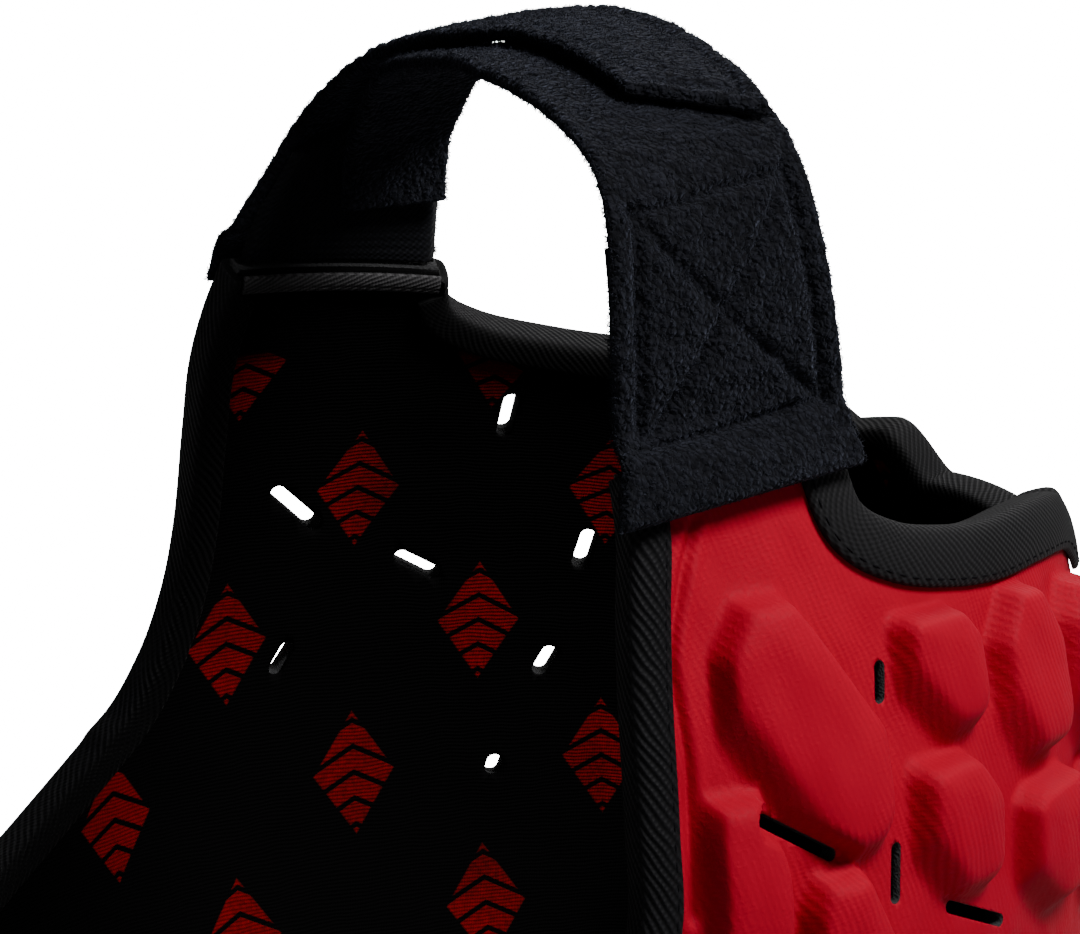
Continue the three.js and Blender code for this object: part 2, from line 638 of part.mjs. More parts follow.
// A four-cornered ring of webbing on the route, between two offsets and two edges.
function routeRing(share, low, high, front, rear) {
  const at = route.getPointAt(share);
  const tangent = route.getTangentAt(share);
  const out = new THREE.Vector3(tangent.z, 0, -tangent.x).normalize();
  const inwards = Math.sign(at.x) * at.y;
  const corner = (edge, offset, step) => new THREE.Vector3(
    at.x + out.x * offset - step,
    strapMiddle + edge * strapWidth,
    at.z + out.z * offset,
  );
  return [corner(front, low, 0), corner(front, high, 0), corner(rear, high, inwards), corner(rear, low, inwards)];
}

// A ring of webbing lying on the side panel, between two heights and two points of the pattern.
function panelRing(front, rear, low, high, side) {
  const frontDir = patternToDirection(front, side);
  const rearDir = patternToDirection(rear, side);
  return [layerPoint(frontDir, low), layerPoint(frontDir, high), layerPoint(rearDir, high), layerPoint(rearDir, low)];
}

function edgeAt(table, way, key) {
  const next = Math.max(1, table.findIndex((row) => row.way >= way));
  const before = table[next - 1];
  const after = table[next];
  return THREE.MathUtils.mapLinear(way, before.way, after.way, before[key], after[key]);
}

const ringSection = [
  new THREE.Vector2(0, 0), new THREE.Vector2(1, 0), new THREE.Vector2(1, 1), new THREE.Vector2(0, 1),
];
const strapLow = tapeTop + sewnGap;

// The rings of a strap where it is sewn over the tab's outside, slanting like its lower end.
function sewnRings(side) {
  return [
    { step: sewnSideStep, frontUp: -sewnOverlapFront, rearUp: -sewnOverlapRear },
    { step: sewnSideStep / 2, frontUp: 0, rearUp: sewnOverlapRear / 4 },
  ].map(({ step, frontUp, rearUp }) => panelRing(
    tabFrontAt(side).add(new THREE.Vector2(-step, frontUp)),
    tabBack.clone().add(new THREE.Vector2(step, rearUp)),
    strapLow,
    strapLow + strapThickness,
    side,
  ));
}

const group = new THREE.Group();
function add(name, geometry, colour, roughness) {
  const material = new THREE.MeshStandardMaterial({ color: colour, roughness, metalness: 0 });
  const mesh = new THREE.Mesh(geometry, material);
  mesh.name = name;
  group.add(mesh);
}

const red = 0xb0101c;
const charcoal = 0x303033;
const black = 0x141416;

for (const [name, side, cheekPads, cheekVents] of [
  ["right", 1, rightCheekPads, rightVents],
  ["left", -1, leftCheekPads, leftVents],
]) {
  const grid = sideGrid(side);
  const cutters = [...cheekVents, ...crownVents].map((vent) => sideVentCutter(vent, side));
  const core = toSolid(slab(grid, foamBase - coreDepth, foamBase + padTrim));
  let panel = toSolid(slab(grid, foamBase, foamTop));
  for (const pad of [...cheekPads, ...crownPads]) {
    const place = (p) => patternToDirection(new THREE.Vector2(pad.back + p.x, pad.up + p.y), side);
    panel = panel.add(padSolid(pad, place, true).subtract(core));
  }
  let lining = toSolid(slab(grid, innerFace, liningTop));
  for (const cutter of cutters) {
    panel = panel.subtract(cutter);
    lining = lining.subtract(cutter);
  }
  add(`${name}_side_panel`, toGeometry(panel), red, 0.85);
  add(`${name}_lining`, toGeometry(lining), black, 0.9);
}

const napeVent = ventCutter(
  centreDirection(radians(-napeVentTilt), radians(napeVentAngle)),
  centreDirection(radians(napeVentTilt), radians(napeVentAngle)),
);
const centreCore = toSolid(slab(centreGrid, foamBase - coreDepth, foamBase + padTrim));
let centrePanel = toSolid(slab(centreGrid, foamBase, foamTop));
for (const { angle, wide, long, cut } of centrePads) {
  const pad = { wide, high: long, lowBack: cut, topBack: cut, topFront: cut, lowFront: cut };
  const reach = angle < 0 ? headFront : headBack;
  const place = (p) => centreDirection(p.x / headHalfWidth, radians(angle) + p.y / reach);
  centrePanel = centrePanel.add(padSolid(pad, place, angle !== 0).subtract(centreCore));
}
const centreLining = toSolid(slab(centreGrid, innerFace, liningTop)).subtract(napeVent);
add("centre_panel", toGeometry(centrePanel.subtract(napeVent)), red, 0.85);
add("centre_lining", toGeometry(centreLining), black, 0.9);

add("face_edge_tape", binding(true, tapeWidth), charcoal, 0.8);
add("neck_edge_band", binding(false, ribWidth), charcoal, 0.8);

// A strip that hems the lining across the end of each tab, inside.
function hem(side) {
  const ends = [0, 1].map((down) => (share) => {
    const across = tabFrontAt(side).lerp(tabBack, share);
    return patternToDirection(across.add(new THREE.Vector2(0, -down * hemHeight)), side);
  });
  const shares = [0, 0.25, 0.5, 0.75, 1];
  const grid = ends.map((row) => shares.map((share) => row(share)));
  return slab(grid, -bindingGap - bindingThickness, -bindingGap);
}

// Webbing that carries on from the end of a tab, under or between the straps. The rows give the route
// share at its front and rear edges and the edges themselves, as for a strap.
function webbingTab(side, low, rows) {
  const rings = [panelRing(
    tabFrontAt(side).add(new THREE.Vector2(webbingInset, hemGap)),
    tabBack.clone().add(new THREE.Vector2(-webbingInset, hemGap)),
    foamBase,
    foamBase + webbingThickness,
    side,
  )];
  for (const row of rows) {
    const atFront = routeRing(row.routeFront, low, low + webbingThickness, row.front, row.rear);
    const atRear = routeRing(row.routeRear, low, low + webbingThickness, row.front, row.rear);
    rings.push([atFront[0], atFront[1], atRear[2], atRear[3]]);
  }
  return loft(rings, ringSection);
}

// The right strap rises from the right tab, passes under the left strap and tucks inside the left tab.
function rightStrap() {
  const rings = sewnRings(1);
  for (let i = 0; i <= strapStations; i += 1) {
    const share = (rightStrapEnd * i) / strapStations;
    const way = i / strapStations;
    const tuck = THREE.MathUtils.smoothstep(share, tuckStart, tuckEnd) * (webbingThickness + 1.5 * strapGap);
    const high = -strapGap / 2 - tuck;
    rings.push(routeRing(
      share, high - strapThickness, high, edgeAt(rightStrapEdges, way, "front"), edgeAt(rightStrapEdges, way, "rear"),
    ));
  }
  return loft(rings, ringSection);
}

// The left strap rises from the left tab, lies over the right strap and ends past the chin.
function leftStrap() {
  const rings = sewnRings(-1);
  for (let i = 0; i <= strapStations; i += 1) {
    const way = i / strapStations;
    const low = strapGap / 2;
    const front = edgeAt(leftStrapEdges, way, "front");
    const rear = edgeAt(leftStrapEdges, way, "rear");
    const lift = chinLift * edgeAt(leftStrapEdges, way, "lift");
    const atFront = routeRing(1 - leftStrapEndFront * way, low, low + strapThickness, front, rear);
    const atRear = routeRing(1 - leftStrapEndRear * way, low + lift, low + lift + strapThickness, front, rear);
    rings.push([atFront[0], atFront[1], atRear[2], atRear[3]]);
  }
  return loft(rings, ringSection);
}

const underRight = -strapGap * 1.5 - strapThickness - webbingThickness;
const underLeft = -strapGap / 2 - webbingThickness;
add("right_lining_hem", hem(1), charcoal, 0.85);
add("left_lining_hem", hem(-1), charcoal, 0.85);
add("right_webbing_tab", webbingTab(1, underRight, rightWebbing), black, 0.95);
add("left_webbing_tab", webbingTab(-1, underLeft, leftWebbing), black, 0.95);
add("right_chin_strap", rightStrap(), black, 1);
add("left_chin_strap", leftStrap(), black, 1);

// The origin goes to the middle of the overall box, at the level of the crown pad's flat top.
const box = new THREE.Box3().setFromObject(group, true);
const middle = box.getCenter(new THREE.Vector3());
for (const mesh of group.children) mesh.geometry.translate(-middle.x, -middle.y, -box.min.z);

export default group;
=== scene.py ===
"""Dresses the rugby headguard's solids: padded twill panels, printed linings, woven bindings,
webbing and plush chin straps, on a plain pale stage."""

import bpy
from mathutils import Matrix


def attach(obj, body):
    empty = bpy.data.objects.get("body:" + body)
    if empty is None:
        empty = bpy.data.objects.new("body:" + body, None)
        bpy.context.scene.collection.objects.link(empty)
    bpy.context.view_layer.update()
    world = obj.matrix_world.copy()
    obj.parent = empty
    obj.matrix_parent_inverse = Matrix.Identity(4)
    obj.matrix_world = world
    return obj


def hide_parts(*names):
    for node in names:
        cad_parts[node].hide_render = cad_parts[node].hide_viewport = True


bl_info = {
    "name": "Rugby headguard",
    "version": (1, 0, 0),
    "blender": (4, 5, 0),
    "location": "3D View > Sidebar > Headguard",
    "description": "Padded panels, linings, bindings and plush straps of a rugby headguard",
    "category": "Object",
}

import bmesh
import bpy
import numpy as np
from mathutils import Vector

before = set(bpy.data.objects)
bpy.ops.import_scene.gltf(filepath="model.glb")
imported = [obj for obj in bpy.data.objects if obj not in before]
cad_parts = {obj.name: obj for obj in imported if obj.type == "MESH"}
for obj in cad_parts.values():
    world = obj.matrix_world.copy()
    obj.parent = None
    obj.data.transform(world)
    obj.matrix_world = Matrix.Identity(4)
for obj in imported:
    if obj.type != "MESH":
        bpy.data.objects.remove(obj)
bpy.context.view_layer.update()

MM = 0.001
ORIGIN = np.array([0.114, 5.286, 0.0])

# Head form in millimetres, as the solids have it.
HALF_WIDTH = 79.5
FRONT = 99.0
BACK = 104.0
CROWN = 114.7
JAW = 170.0
FRONT_TAPER = 0.28
JAW_TAPER = 0.47
FLAT_START = 0.7
FLAT_END = 0.95
FLAT_SHARE = (FLAT_START + FLAT_END) / 2
PAD_TOP = 10.4
WIDEST = CROWN * FLAT_SHARE + PAD_TOP

# Heights over the head form.
HEM_TOP = -0.5
LINING_TOP = 1.2
FOAM_BASE = 1.7
FOAM_TOP = 4.7
STITCH_LEVEL = 6.12
FLOOR_GAP = 0.01

# Pads: rise of the slope and of the crown over it, where the slope starts and ends inside the foot,
# the fillet at its corners, and how sharply the eight sides meet.
SHOULDER = 4.4
CROWNING = 1.2
CROWN_START = 0.9
CROWN_REACH = 3.0
SLOPE = (-0.3, 1.2, 0.22)
FLAT_SLOPE = (-0.3, 1.8, 0.26)
CORNER_SHARPNESS = 3.0
# How much the crown-side slopes count, on the side pads and on the pads near the crown.
LOW_SHARES = (0.42, 0.6)

BROW = np.radians(76.0)
NAPE = np.radians(105.7)
HUMP = np.radians(108.9)
SEAM_TILT = np.arcsin(28.6 / HALF_WIDTH)
SIDE_TILT = np.arcsin(29.0 / HALF_WIDTH)
TAPE_WIDTH = 4.2
BAND_WIDTH = 7.5
INNER_LEG = 4.0
# Bindings: bare length at each end of an edge, and how many points their stitch line has.
EDGE_MARGIN = 0.9
STITCH_STATIONS = 600
# Every how many points a cover's inner face has one.
COVER_STEP = 6
# Depth and width of the dent along the panels' seams.
SEAM_DENT = (-1.1, 1.5)

# Face edge as shares of the form's reach: up, back on the right, back on the left.
FACE_EDGE = np.array([
    [0.490, -0.018, -0.034], [0.438, -0.024, -0.056], [0.380, -0.043, -0.068],
    [0.310, -0.058, -0.067], [0.214, -0.067, -0.069], [0.134, -0.074, -0.090],
    [0.064, -0.122, -0.138], [0.006, -0.220, -0.222], [-0.098, -0.416, -0.416],
    [-0.179, -0.648, -0.648],
])
# Neck edge: back, up.
NECK_EDGE = np.array([
    [0.302, 0.468], [0.321, 0.426], [0.386, 0.400], [0.470, 0.384], [0.574, 0.371],
    [0.702, 0.362], [0.812, 0.342],
])

# Pads: back, up, width, height, then the shares cut off the corners: top front, top back,
# low back, low front.
RIGHT_PADS = np.array([
    [18.7, 46.3, 27.0, 39.5, 0.18, 0.53, 0.08, 0.55], [46.0, 49.6, 17.4, 20.0, 0.08, 0.24, 0.08, 0.48],
    [70.2, 45.5, 19.4, 28.5, 0.28, 0.35, 0.08, 0.32], [46.9, 26.3, 18.4, 22.6, 0.08, 0.34, 0.06, 0.42],
    [76.5, 16.0, 25.5, 23.0, 0.10, 0.28, 0.10, 0.36], [7.2, 18.2, 12.8, 43.0, 0.08, 0.27, 0.10, 0.30],
    [24.8, 8.7, 17.0, 34.5, 0.12, 0.42, 0.10, 0.32], [47.0, -3.5, 20.0, 20.0, 0.10, 0.30, 0.10, 0.36],
    [97.0, 42.0, 22.0, 31.0, 0.20, 0.30, 0.12, 0.30], [103.0, 10.0, 21.0, 28.0, 0.12, 0.25, 0.15, 0.32],
])
LEFT_PADS = np.array([
    [30.5, 46.5, 27, 35, 0.18, 0.50, 0.08, 0.50], [61.0, 49.5, 18, 20, 0.10, 0.26, 0.08, 0.40],
    [86.0, 47.5, 20, 23, 0.20, 0.35, 0.10, 0.32], [50.5, 24.0, 17, 21, 0.10, 0.32, 0.08, 0.40],
    [79.0, 20.5, 22, 23, 0.10, 0.28, 0.12, 0.36], [6.8, 21.0, 9, 31, 0.10, 0.34, 0.10, 0.30],
    [23.6, 8.0, 17, 29, 0.12, 0.38, 0.10, 0.32], [43.0, -1.5, 18, 20, 0.10, 0.30, 0.10, 0.36],
    [75.5, -6.5, 24, 20, 0.15, 0.25, 0.15, 0.30], [104.0, 9.0, 20, 29, 0.15, 0.25, 0.15, 0.30],
])
CROWN_PADS = np.array([
    [-31, -33, 35, 29, 0.32, 0.18, 0.18, 0.24], [5.5, -26.5, 32, 31, 0.22, 0.18, 0.22, 0.18],
    [46, -36.5, 34, 29, 0.18, 0.24, 0.18, 0.28], [84, -36, 30, 31, 0.22, 0.18, 0.32, 0.18],
    [-74, -52, 36, 31, 0.28, 0.18, 0.22, 0.24], [-31, -71, 38, 35, 0.18, 0.26, 0.18, 0.26],
    [10, -69, 35, 38, 0.26, 0.18, 0.26, 0.18], [51, -79, 36, 36, 0.18, 0.26, 0.18, 0.26],
    [86, -73, 24, 30, 0.18, 0.26, 0.42, 0.18], [-71, -88, 28, 28, 0.24, 0.18, 0.18, 0.42],
    [-28, -108, 36, 28, 0.18, 0.18, 0.18, 0.38], [14, -110.5, 36, 32, 0.18, 0.18, 0.24, 0.24],
    [52, -109, 24, 16, 0.24, 0.24, 0.42, 0.24],
])
# Centre pads: angle from the crown in degrees, width, length.
CENTRE_PADS = np.array([
    [-62, 42, 30], [-42, 42, 32], [-21, 44, 32], [0, 46, 34], [21, 44, 32], [41, 42, 30],
    [61, 42, 30], [81, 40, 30],
])
CENTRE_CUT = 0.26
# How far from a vent's middle line the pads are still flat, and how far they are whole.
VENT_CLEARING = (0.9, 2.6)
# How far a vent's cutter stands out of the foam on both sides.
CUTTER_REACH = 14

# Vents: both ends on the side pattern, back and up.
RIGHT_VENTS = [(35.0, 53.8, 34.4, 47.4), (9.7, 35.9, 22.9, 27.5), (34.6, 27.1, 34.2, 17.8),
               (45.0, 14.6, 60.0, 7.6), (25.6, -24, 25.6, -36), (66.4, -30, 66.4, -42)]
LEFT_VENTS = [(49.7, 59.1, 48.6, 50.0), (7.5, 41.8, 16.6, 32.9), (30.5, 26.8, 38.8, 22.1),
              (66.1, 31.9, 64.0, 23.6), (59.9, 7.9, 56.8, 2.2), (12.0, 11.9, 8.7, 6.3),
              (49.4, -12.8, 48.0, -16.5)]
CROWN_VENTS = [(30.3, -68, 30.3, -82),
               (-53.6, -74, -53.6, -86), (101.0, 27.0, 109.0, 24.5)]
VENT_WIDTHS = {1: 2.0, -1: 2.8, 0: 2.4}

# Print on the lining: row height, half its repeat along a row, half a lozenge, half a bar's repeat
# and the heights on the side pattern between which it ends.
PRINT_ROW = 27.0
PRINT_SHIFT = 23.0
LOZENGE_HALF = (7.5, 11.5)
BAR_REACH = 2.4
PRINT_END = (70.0, 66.0)
FULL_TURN = 6.2832

# Folded line of the panel beside the face tape, back and up on the side pattern.
FOLD_LINE = np.array([
    [5.8, 78.8], [2.7, 72.3], [-0.2, 64.6], [-1.7, 59.3], [-1.4, 52.0], [-0.9, 44.9],
    [-1.0, 40.9], [-1.6, 33.0], [-1.9, 24.0],
])

# Chin strap route: across and rise as shares, and the rear edge's lean.
ROUTE = np.array([
    [1.030, 0.170, 0.038], [1.016, 0.420, 0.030], [0.987, 0.670, 0.034], [0.913, 0.845, 0.030],
    [0.775, 0.935, 0.012], [0.500, 0.992, 0], [0.170, 0.985, 0], [-0.130, 0.915, 0],
    [-0.440, 0.820, 0], [-0.710, 0.670, 0], [-0.860, 0.505, 0], [-0.928, 0.323, 0.008],
    [-0.965, 0.170, 0.022],
])
REACH = 66.0
RISE = 53.0
STRAP_MIDDLE = 14.8
STRAP_WIDTH = 36.5
TAB_LEVEL = 186.0
STRAP_GAP = 0.8
STRAP_THICK = 2.4
WEBBING_THICK = 2.4
SEWN_LOW = 7.6
CHIN_LIFT = 3.2
# Strap edges: way along the strap, front, rear, and the lift of the rear edge.
RIGHT_EDGES = np.array([
    [0, -0.545, 0.512, 0], [0.10, -0.545, 0.450, 0], [0.20, -0.510, 0.390, 0],
    [0.36, -0.475, 0.385, 0], [0.46, -0.460, 0.370, 0], [0.62, -0.280, 0.370, 0],
    [0.82, -0.140, 0.385, 0], [0.92, -0.090, 0.415, 0], [1, -0.050, 0.445, 0],
])
LEFT_EDGES = np.array([
    [0, -0.500, 0.500, 0], [0.07, -0.365, 0.480, 0], [0.14, -0.263, 0.460, 0],
    [0.22, -0.187, 0.430, 0], [0.30, -0.150, 0.420, 0.2], [0.43, -0.140, 0.420, 0.5],
    [0.57, -0.140, 0.420, 0.5], [0.71, -0.140, 0.420, 0.1], [0.85, -0.170, 0.360, 0],
    [1, -0.190, 0.310, 0],
])
# Webbing rows: route share at the front, at the rear, front edge, rear edge.
RIGHT_WEBBING = np.array([
    [0, 0, -0.50, 0.46], [0.05, 0.05, -0.50, 0.42], [0.10, 0.10, -0.50, 0.38],
    [0.15, 0.15, -0.50, 0.35],
])
LEFT_WEBBING = np.array([
    [1, 1, -0.46, 0.46], [0.975, 0.95, -0.42, 0.45], [0.95, 0.90, -0.36, 0.42],
    [0.92, 0.85, -0.30, 0.40],
])


def flattened(depth):
    """Depth up to 0.7, then eased by a parabola to a constant past 0.95."""
    eased = depth - (depth - FLAT_START) ** 2 / (2 * (FLAT_END - FLAT_START))
    return np.where(depth < FLAT_START, depth, np.where(depth > FLAT_END, FLAT_SHARE, eased))


def tapers(y, z):
    """One less the squares of the forward and upward shares, each times its taper."""
    return np.where(y < 0, 1 - FRONT_TAPER * y**2, 1.0), np.where(z > 0, 1 - JAW_TAPER * z**2, 1.0)


def form_point(way):
    """A unit direction scaled to the head form: tapered half width, depth front or back, and rise by
    the jaw or the flattened crown."""
    x, y, z = way[..., 0], way[..., 1], way[..., 2]
    front, jaw = tapers(y, z)
    return np.stack([
        HALF_WIDTH * x * front * jaw,
        np.where(y < 0, FRONT, BACK) * y,
        WIDEST + np.where(z > 0, JAW * z, -CROWN * flattened(-z)),
    ], -1)


def unit(vectors):
    """Each vector divided by its length."""
    return vectors / np.maximum(np.linalg.norm(vectors, axis=-1, keepdims=True), 1e-12)


def form_normal(way):
    """The outward normal: the cross product of small steps on the form along two tangents."""
    helper = np.where(np.abs(way[..., :1]) < 0.9, [1.0, 0, 0], [0, 1.0, 0])
    first = unit(np.cross(way, helper))
    second = np.cross(way, first)
    step = 1e-4
    along = form_point(unit(way + first * step)) - form_point(unit(way - first * step))
    other = form_point(unit(way + second * step)) - form_point(unit(way - second * step))
    return unit(np.cross(along, other))


def layer(way, height):
    """Form point plus the height along its normal."""
    height = np.asarray(height, float)
    return form_point(way) + form_normal(way) * (height[..., None] if height.ndim else height)


def above_floor(points):
    """The points with none under the ground that the crown rests on."""
    points[..., 2] = np.maximum(points[..., 2], FLOOR_GAP)
    return points


def pattern_way(back, up, side):
    """Unrolls the flat side pattern: the turn away from the ear is the pattern radius in form shares."""
    a = back / np.where(back < 0, FRONT, BACK)
    b = up / np.where(up < 0, CROWN, JAW)
    turn = np.hypot(a, b) + 1e-12
    share = np.sin(turn) / turn
    return np.stack([side * np.cos(turn), share * a, share * b], -1)


def shares_pattern(back, up):
    """The pattern point of a direction's back and up shares."""
    turn = np.arccos(np.sqrt(np.maximum(0, 1 - back**2 - up**2)))
    share = turn / np.sin(turn)
    return np.stack([
        share * back * np.where(back < 0, FRONT, BACK),
        share * up * np.where(up < 0, CROWN, JAW),
    ], -1)


def centre_way(tilt, angle):
    """A direction turned sideways by tilt and from the crown by angle."""
    aside = np.sin(tilt) + 0 * angle
    return np.stack([aside, np.cos(tilt) * np.sin(angle), -np.cos(tilt) * np.cos(angle)], -1)


def seam_pattern(tilt, angle):
    """The pattern point of a direction on the centre panel."""
    way = centre_way(tilt, angle)
    return shares_pattern(way[..., 1], way[..., 2])


def run_length(line):
    """The length along a line of points, from 0 at its first."""
    return np.concatenate([[0], np.cumsum(np.linalg.norm(np.diff(line, axis=0), axis=1))])


def read_at(at, far, line):
    """A line of points read at lengths along it."""
    return np.stack([np.interp(at, far, line[:, k]) for k in range(line.shape[1])], -1)


def curve_at(points, shares):
    """A Catmull-Rom curve through the points, read at shares of its length."""
    t = np.linspace(0, len(points) - 1, 2001)
    k = np.minimum(t.astype(int), len(points) - 2)
    f = (t - k)[:, None]
    before = points[np.maximum(k - 1, 0)]
    here, there = points[k], points[k + 1]
    after = points[np.minimum(k + 2, len(points) - 1)]
    start, end = (there - before) / 2, (after - here) / 2
    line = here + f * start + f**2 * (3 * (there - here) - 2 * start - end)
    line = line + f**3 * (2 * (here - there) + start + end)
    far = run_length(line)
    return read_at(np.asarray(shares) * far[-1], far, line)


BROW_END = seam_pattern(SIDE_TILT, -BROW)
NAPE_END = seam_pattern(SIDE_TILT, HUMP)
NECK_LINE = np.vstack([shares_pattern(NECK_EDGE[:, 0], NECK_EDGE[:, 1]), BROW_END * 0 + NAPE_END])


def face_line(side):
    """Pattern points of the face edge on one side."""
    column = FACE_EDGE[:, 1] if side > 0 else FACE_EDGE[:, 2]
    return np.vstack([shares_pattern(column, FACE_EDGE[:, 0]), BROW_END])


def panel_pattern(across, down, side):
    """A Coons patch: face edge and neck edge, tab end and seam, blended and less the corners."""
    front, back = curve_at(face_line(side), down), curve_at(NECK_LINE, down)
    a, d = across[..., None], down[..., None]
    tab_front, tab_back = face_line(side)[0], NECK_LINE[0]
    top = tab_front + (tab_back - tab_front) * a
    low = seam_pattern(SIDE_TILT, -BROW + across * (BROW + HUMP))
    corners = top * (1 - d) + (BROW_END + (NAPE_END - BROW_END) * a) * d
    return front * (1 - a) + back * a + top * (1 - d) + low * d - corners


def smooth(x, low=0.0, high=1.0):
    """The cubic step from 0 at low to 1 at high."""
    t = np.clip((x - low) / (high - low), 0, 1)
    return t * t * (3 - 2 * t)


def bell(distance, height, width):
    """The height times e to the minus square of the distance over the width."""
    return height * np.exp(-((distance / width) ** 2))


def nape_angle(tilt):
    """The nape edge dips between the two humps."""
    return NAPE + (HUMP - NAPE) * smooth(np.abs(tilt), np.radians(9), np.radians(16))


def ripple(u, v, size, seed):
    """A sum of sine waves in seeded directions, about -1 to 1, with features of the given size."""
    dice = np.random.RandomState(seed)
    total = 0.0
    for _ in range(7):
        turn = dice.uniform(0, 2 * np.pi)
        wave = 2 * np.pi / (size * dice.uniform(0.6, 1.6))
        phase = dice.uniform(0, 2 * np.pi)
        total = total + np.sin(wave * (u * np.cos(turn) + v * np.sin(turn)) + phase)
    return total / 3.2


def pad_depth(u, v, pad, low_share=1.0):
    """How far a pattern point lies inside a pad's foot: the soft minimum of its distances from the
    eight sides, negative outside. The sides towards the crown count less, so their slopes are wide."""
    wide, high = pad[2] / 2, pad[3] / 2
    x, y = u - pad[0], v - pad[1]
    sides = [wide - x, wide + x, high - y, (high + y) * low_share]
    for sx, sy, cut in ((-1, 1, pad[4]), (1, 1, pad[5]), (1, -1, pad[6]), (-1, -1, pad[7])):
        run, drop = 2 * cut * wide, 2 * cut * high
        away = ((wide - sx * x) * drop + (high - sy * y) * run - run * drop) / np.hypot(run, drop)
        sides.append(away * (low_share if sy < 0 else 1.0))
    stack = np.stack(sides)
    least = stack.min(0)
    return least - np.log(np.exp(-CORNER_SHARPNESS * (stack - least)).sum(0)) / CORNER_SHARPNESS


def ramp(x, low, high, fillet):
    """0 below low, 1 above high, even between, with both corners rounded by a soft fillet."""
    rise = np.logaddexp(0, (x - low) / fillet) - np.logaddexp(0, (x - high) / fillet)
    return rise * fillet / (high - low)


def pad_height(depth, full):
    """A straight slope with rounded foot and shoulder, with a low crown over it on a full pad."""
    if not full:
        return (PAD_TOP - FOAM_TOP) * ramp(depth, *FLAT_SLOPE)
    crown = CROWNING * (1 - np.exp(-np.maximum(depth - CROWN_START, 0) / CROWN_REACH))
    return SHOULDER * ramp(depth, *SLOPE) + crown


def line_distance(u, v, line):
    """The least distance from pattern points to a chain of straight pieces."""
    best = np.full(np.shape(u), 1e9)
    for (ax, ay), (bx, by) in zip(line[:-1], line[1:]):
        dx, dy = bx - ax, by - ay
        t = np.clip(((u - ax) * dx + (v - ay) * dy) / (dx * dx + dy * dy), 0, 1)
        best = np.minimum(best, np.hypot(u - ax - t * dx, v - ay - t * dy))
    return best


def grid_faces(rows, wide, start=0):
    """Quads over a grid of rows by wide points."""
    j, i = np.meshgrid(np.arange(rows - 1), np.arange(wide - 1), indexing="ij")
    a = (start + j * wide + i).ravel()
    return np.stack([a, a + wide, a + wide + 1, a + 1], -1)


def border_faces(fine, coarse, step):
    """Triangles between a fine border and a coarse one with every step-th point."""
    i = np.arange(len(fine) - 1)
    part = i // step + (i % step >= step // 2)
    walls = np.stack([fine[i], fine[i + 1], coarse[part]], -1)
    k = np.arange(len(coarse) - 1)
    middles = np.stack([coarse[k], fine[k * step + step // 2], coarse[k + 1]], -1)
    return np.concatenate([walls, middles])


def closed_sheet(outer, inner, step):
    """Points and faces of a slab: the fine outer grid, the coarse inner grid and the walls between."""
    rows, wide = outer.shape[:2]
    low_rows, low_wide = inner.shape[:2]
    start = rows * wide
    top = np.arange(start).reshape(rows, wide)
    low = start + np.arange(low_rows * low_wide).reshape(low_rows, low_wide)
    faces = [grid_faces(rows, wide), grid_faces(low_rows, low_wide, start)[:, ::-1]]
    for fine, coarse in ((top[0], low[0]), (top[-1, ::-1], low[-1, ::-1]),
                         (top[::-1, 0], low[::-1, 0]), (top[:, -1], low[:, -1])):
        faces.append(border_faces(fine, coarse, step))
    return np.concatenate([outer.reshape(-1, 3), inner.reshape(-1, 3)]), faces


def tube_faces(rings, around, start=0):
    """Quads round a tube whose rings follow each other."""
    j, i = np.meshgrid(np.arange(rings - 1), np.arange(around), indexing="ij")
    k = (i + 1) % around
    quads = [start + j * around + i, start + j * around + k,
             start + (j + 1) * around + k, start + (j + 1) * around + i]
    return np.stack([q.ravel() for q in quads], -1)


def closed_tube(rings):
    """Points and faces of a tube through rings of points, closed at both ends by fans."""
    count, around = rings.shape[:2]
    points = np.concatenate([rings.reshape(-1, 3), rings[:1].mean(1), rings[-1:].mean(1)])
    i = np.arange(around)
    k = (i + 1) % around
    first = np.stack([np.full(around, count * around), k, i], -1)
    base = (count - 1) * around
    last = np.stack([np.full(around, count * around + 1), base + i, base + k], -1)
    return points, [tube_faces(count, around), first, last]


def volume(points, faces):
    """Signed volume: the sum of the triangles' triple products over six."""
    total = 0.0
    for block in faces:
        for k in range(1, block.shape[1] - 1):
            a, b, c = points[block[:, 0]], points[block[:, k]], points[block[:, k + 1]]
            total += np.einsum("ij,ij->", a, np.cross(b, c)) / 6
    return total


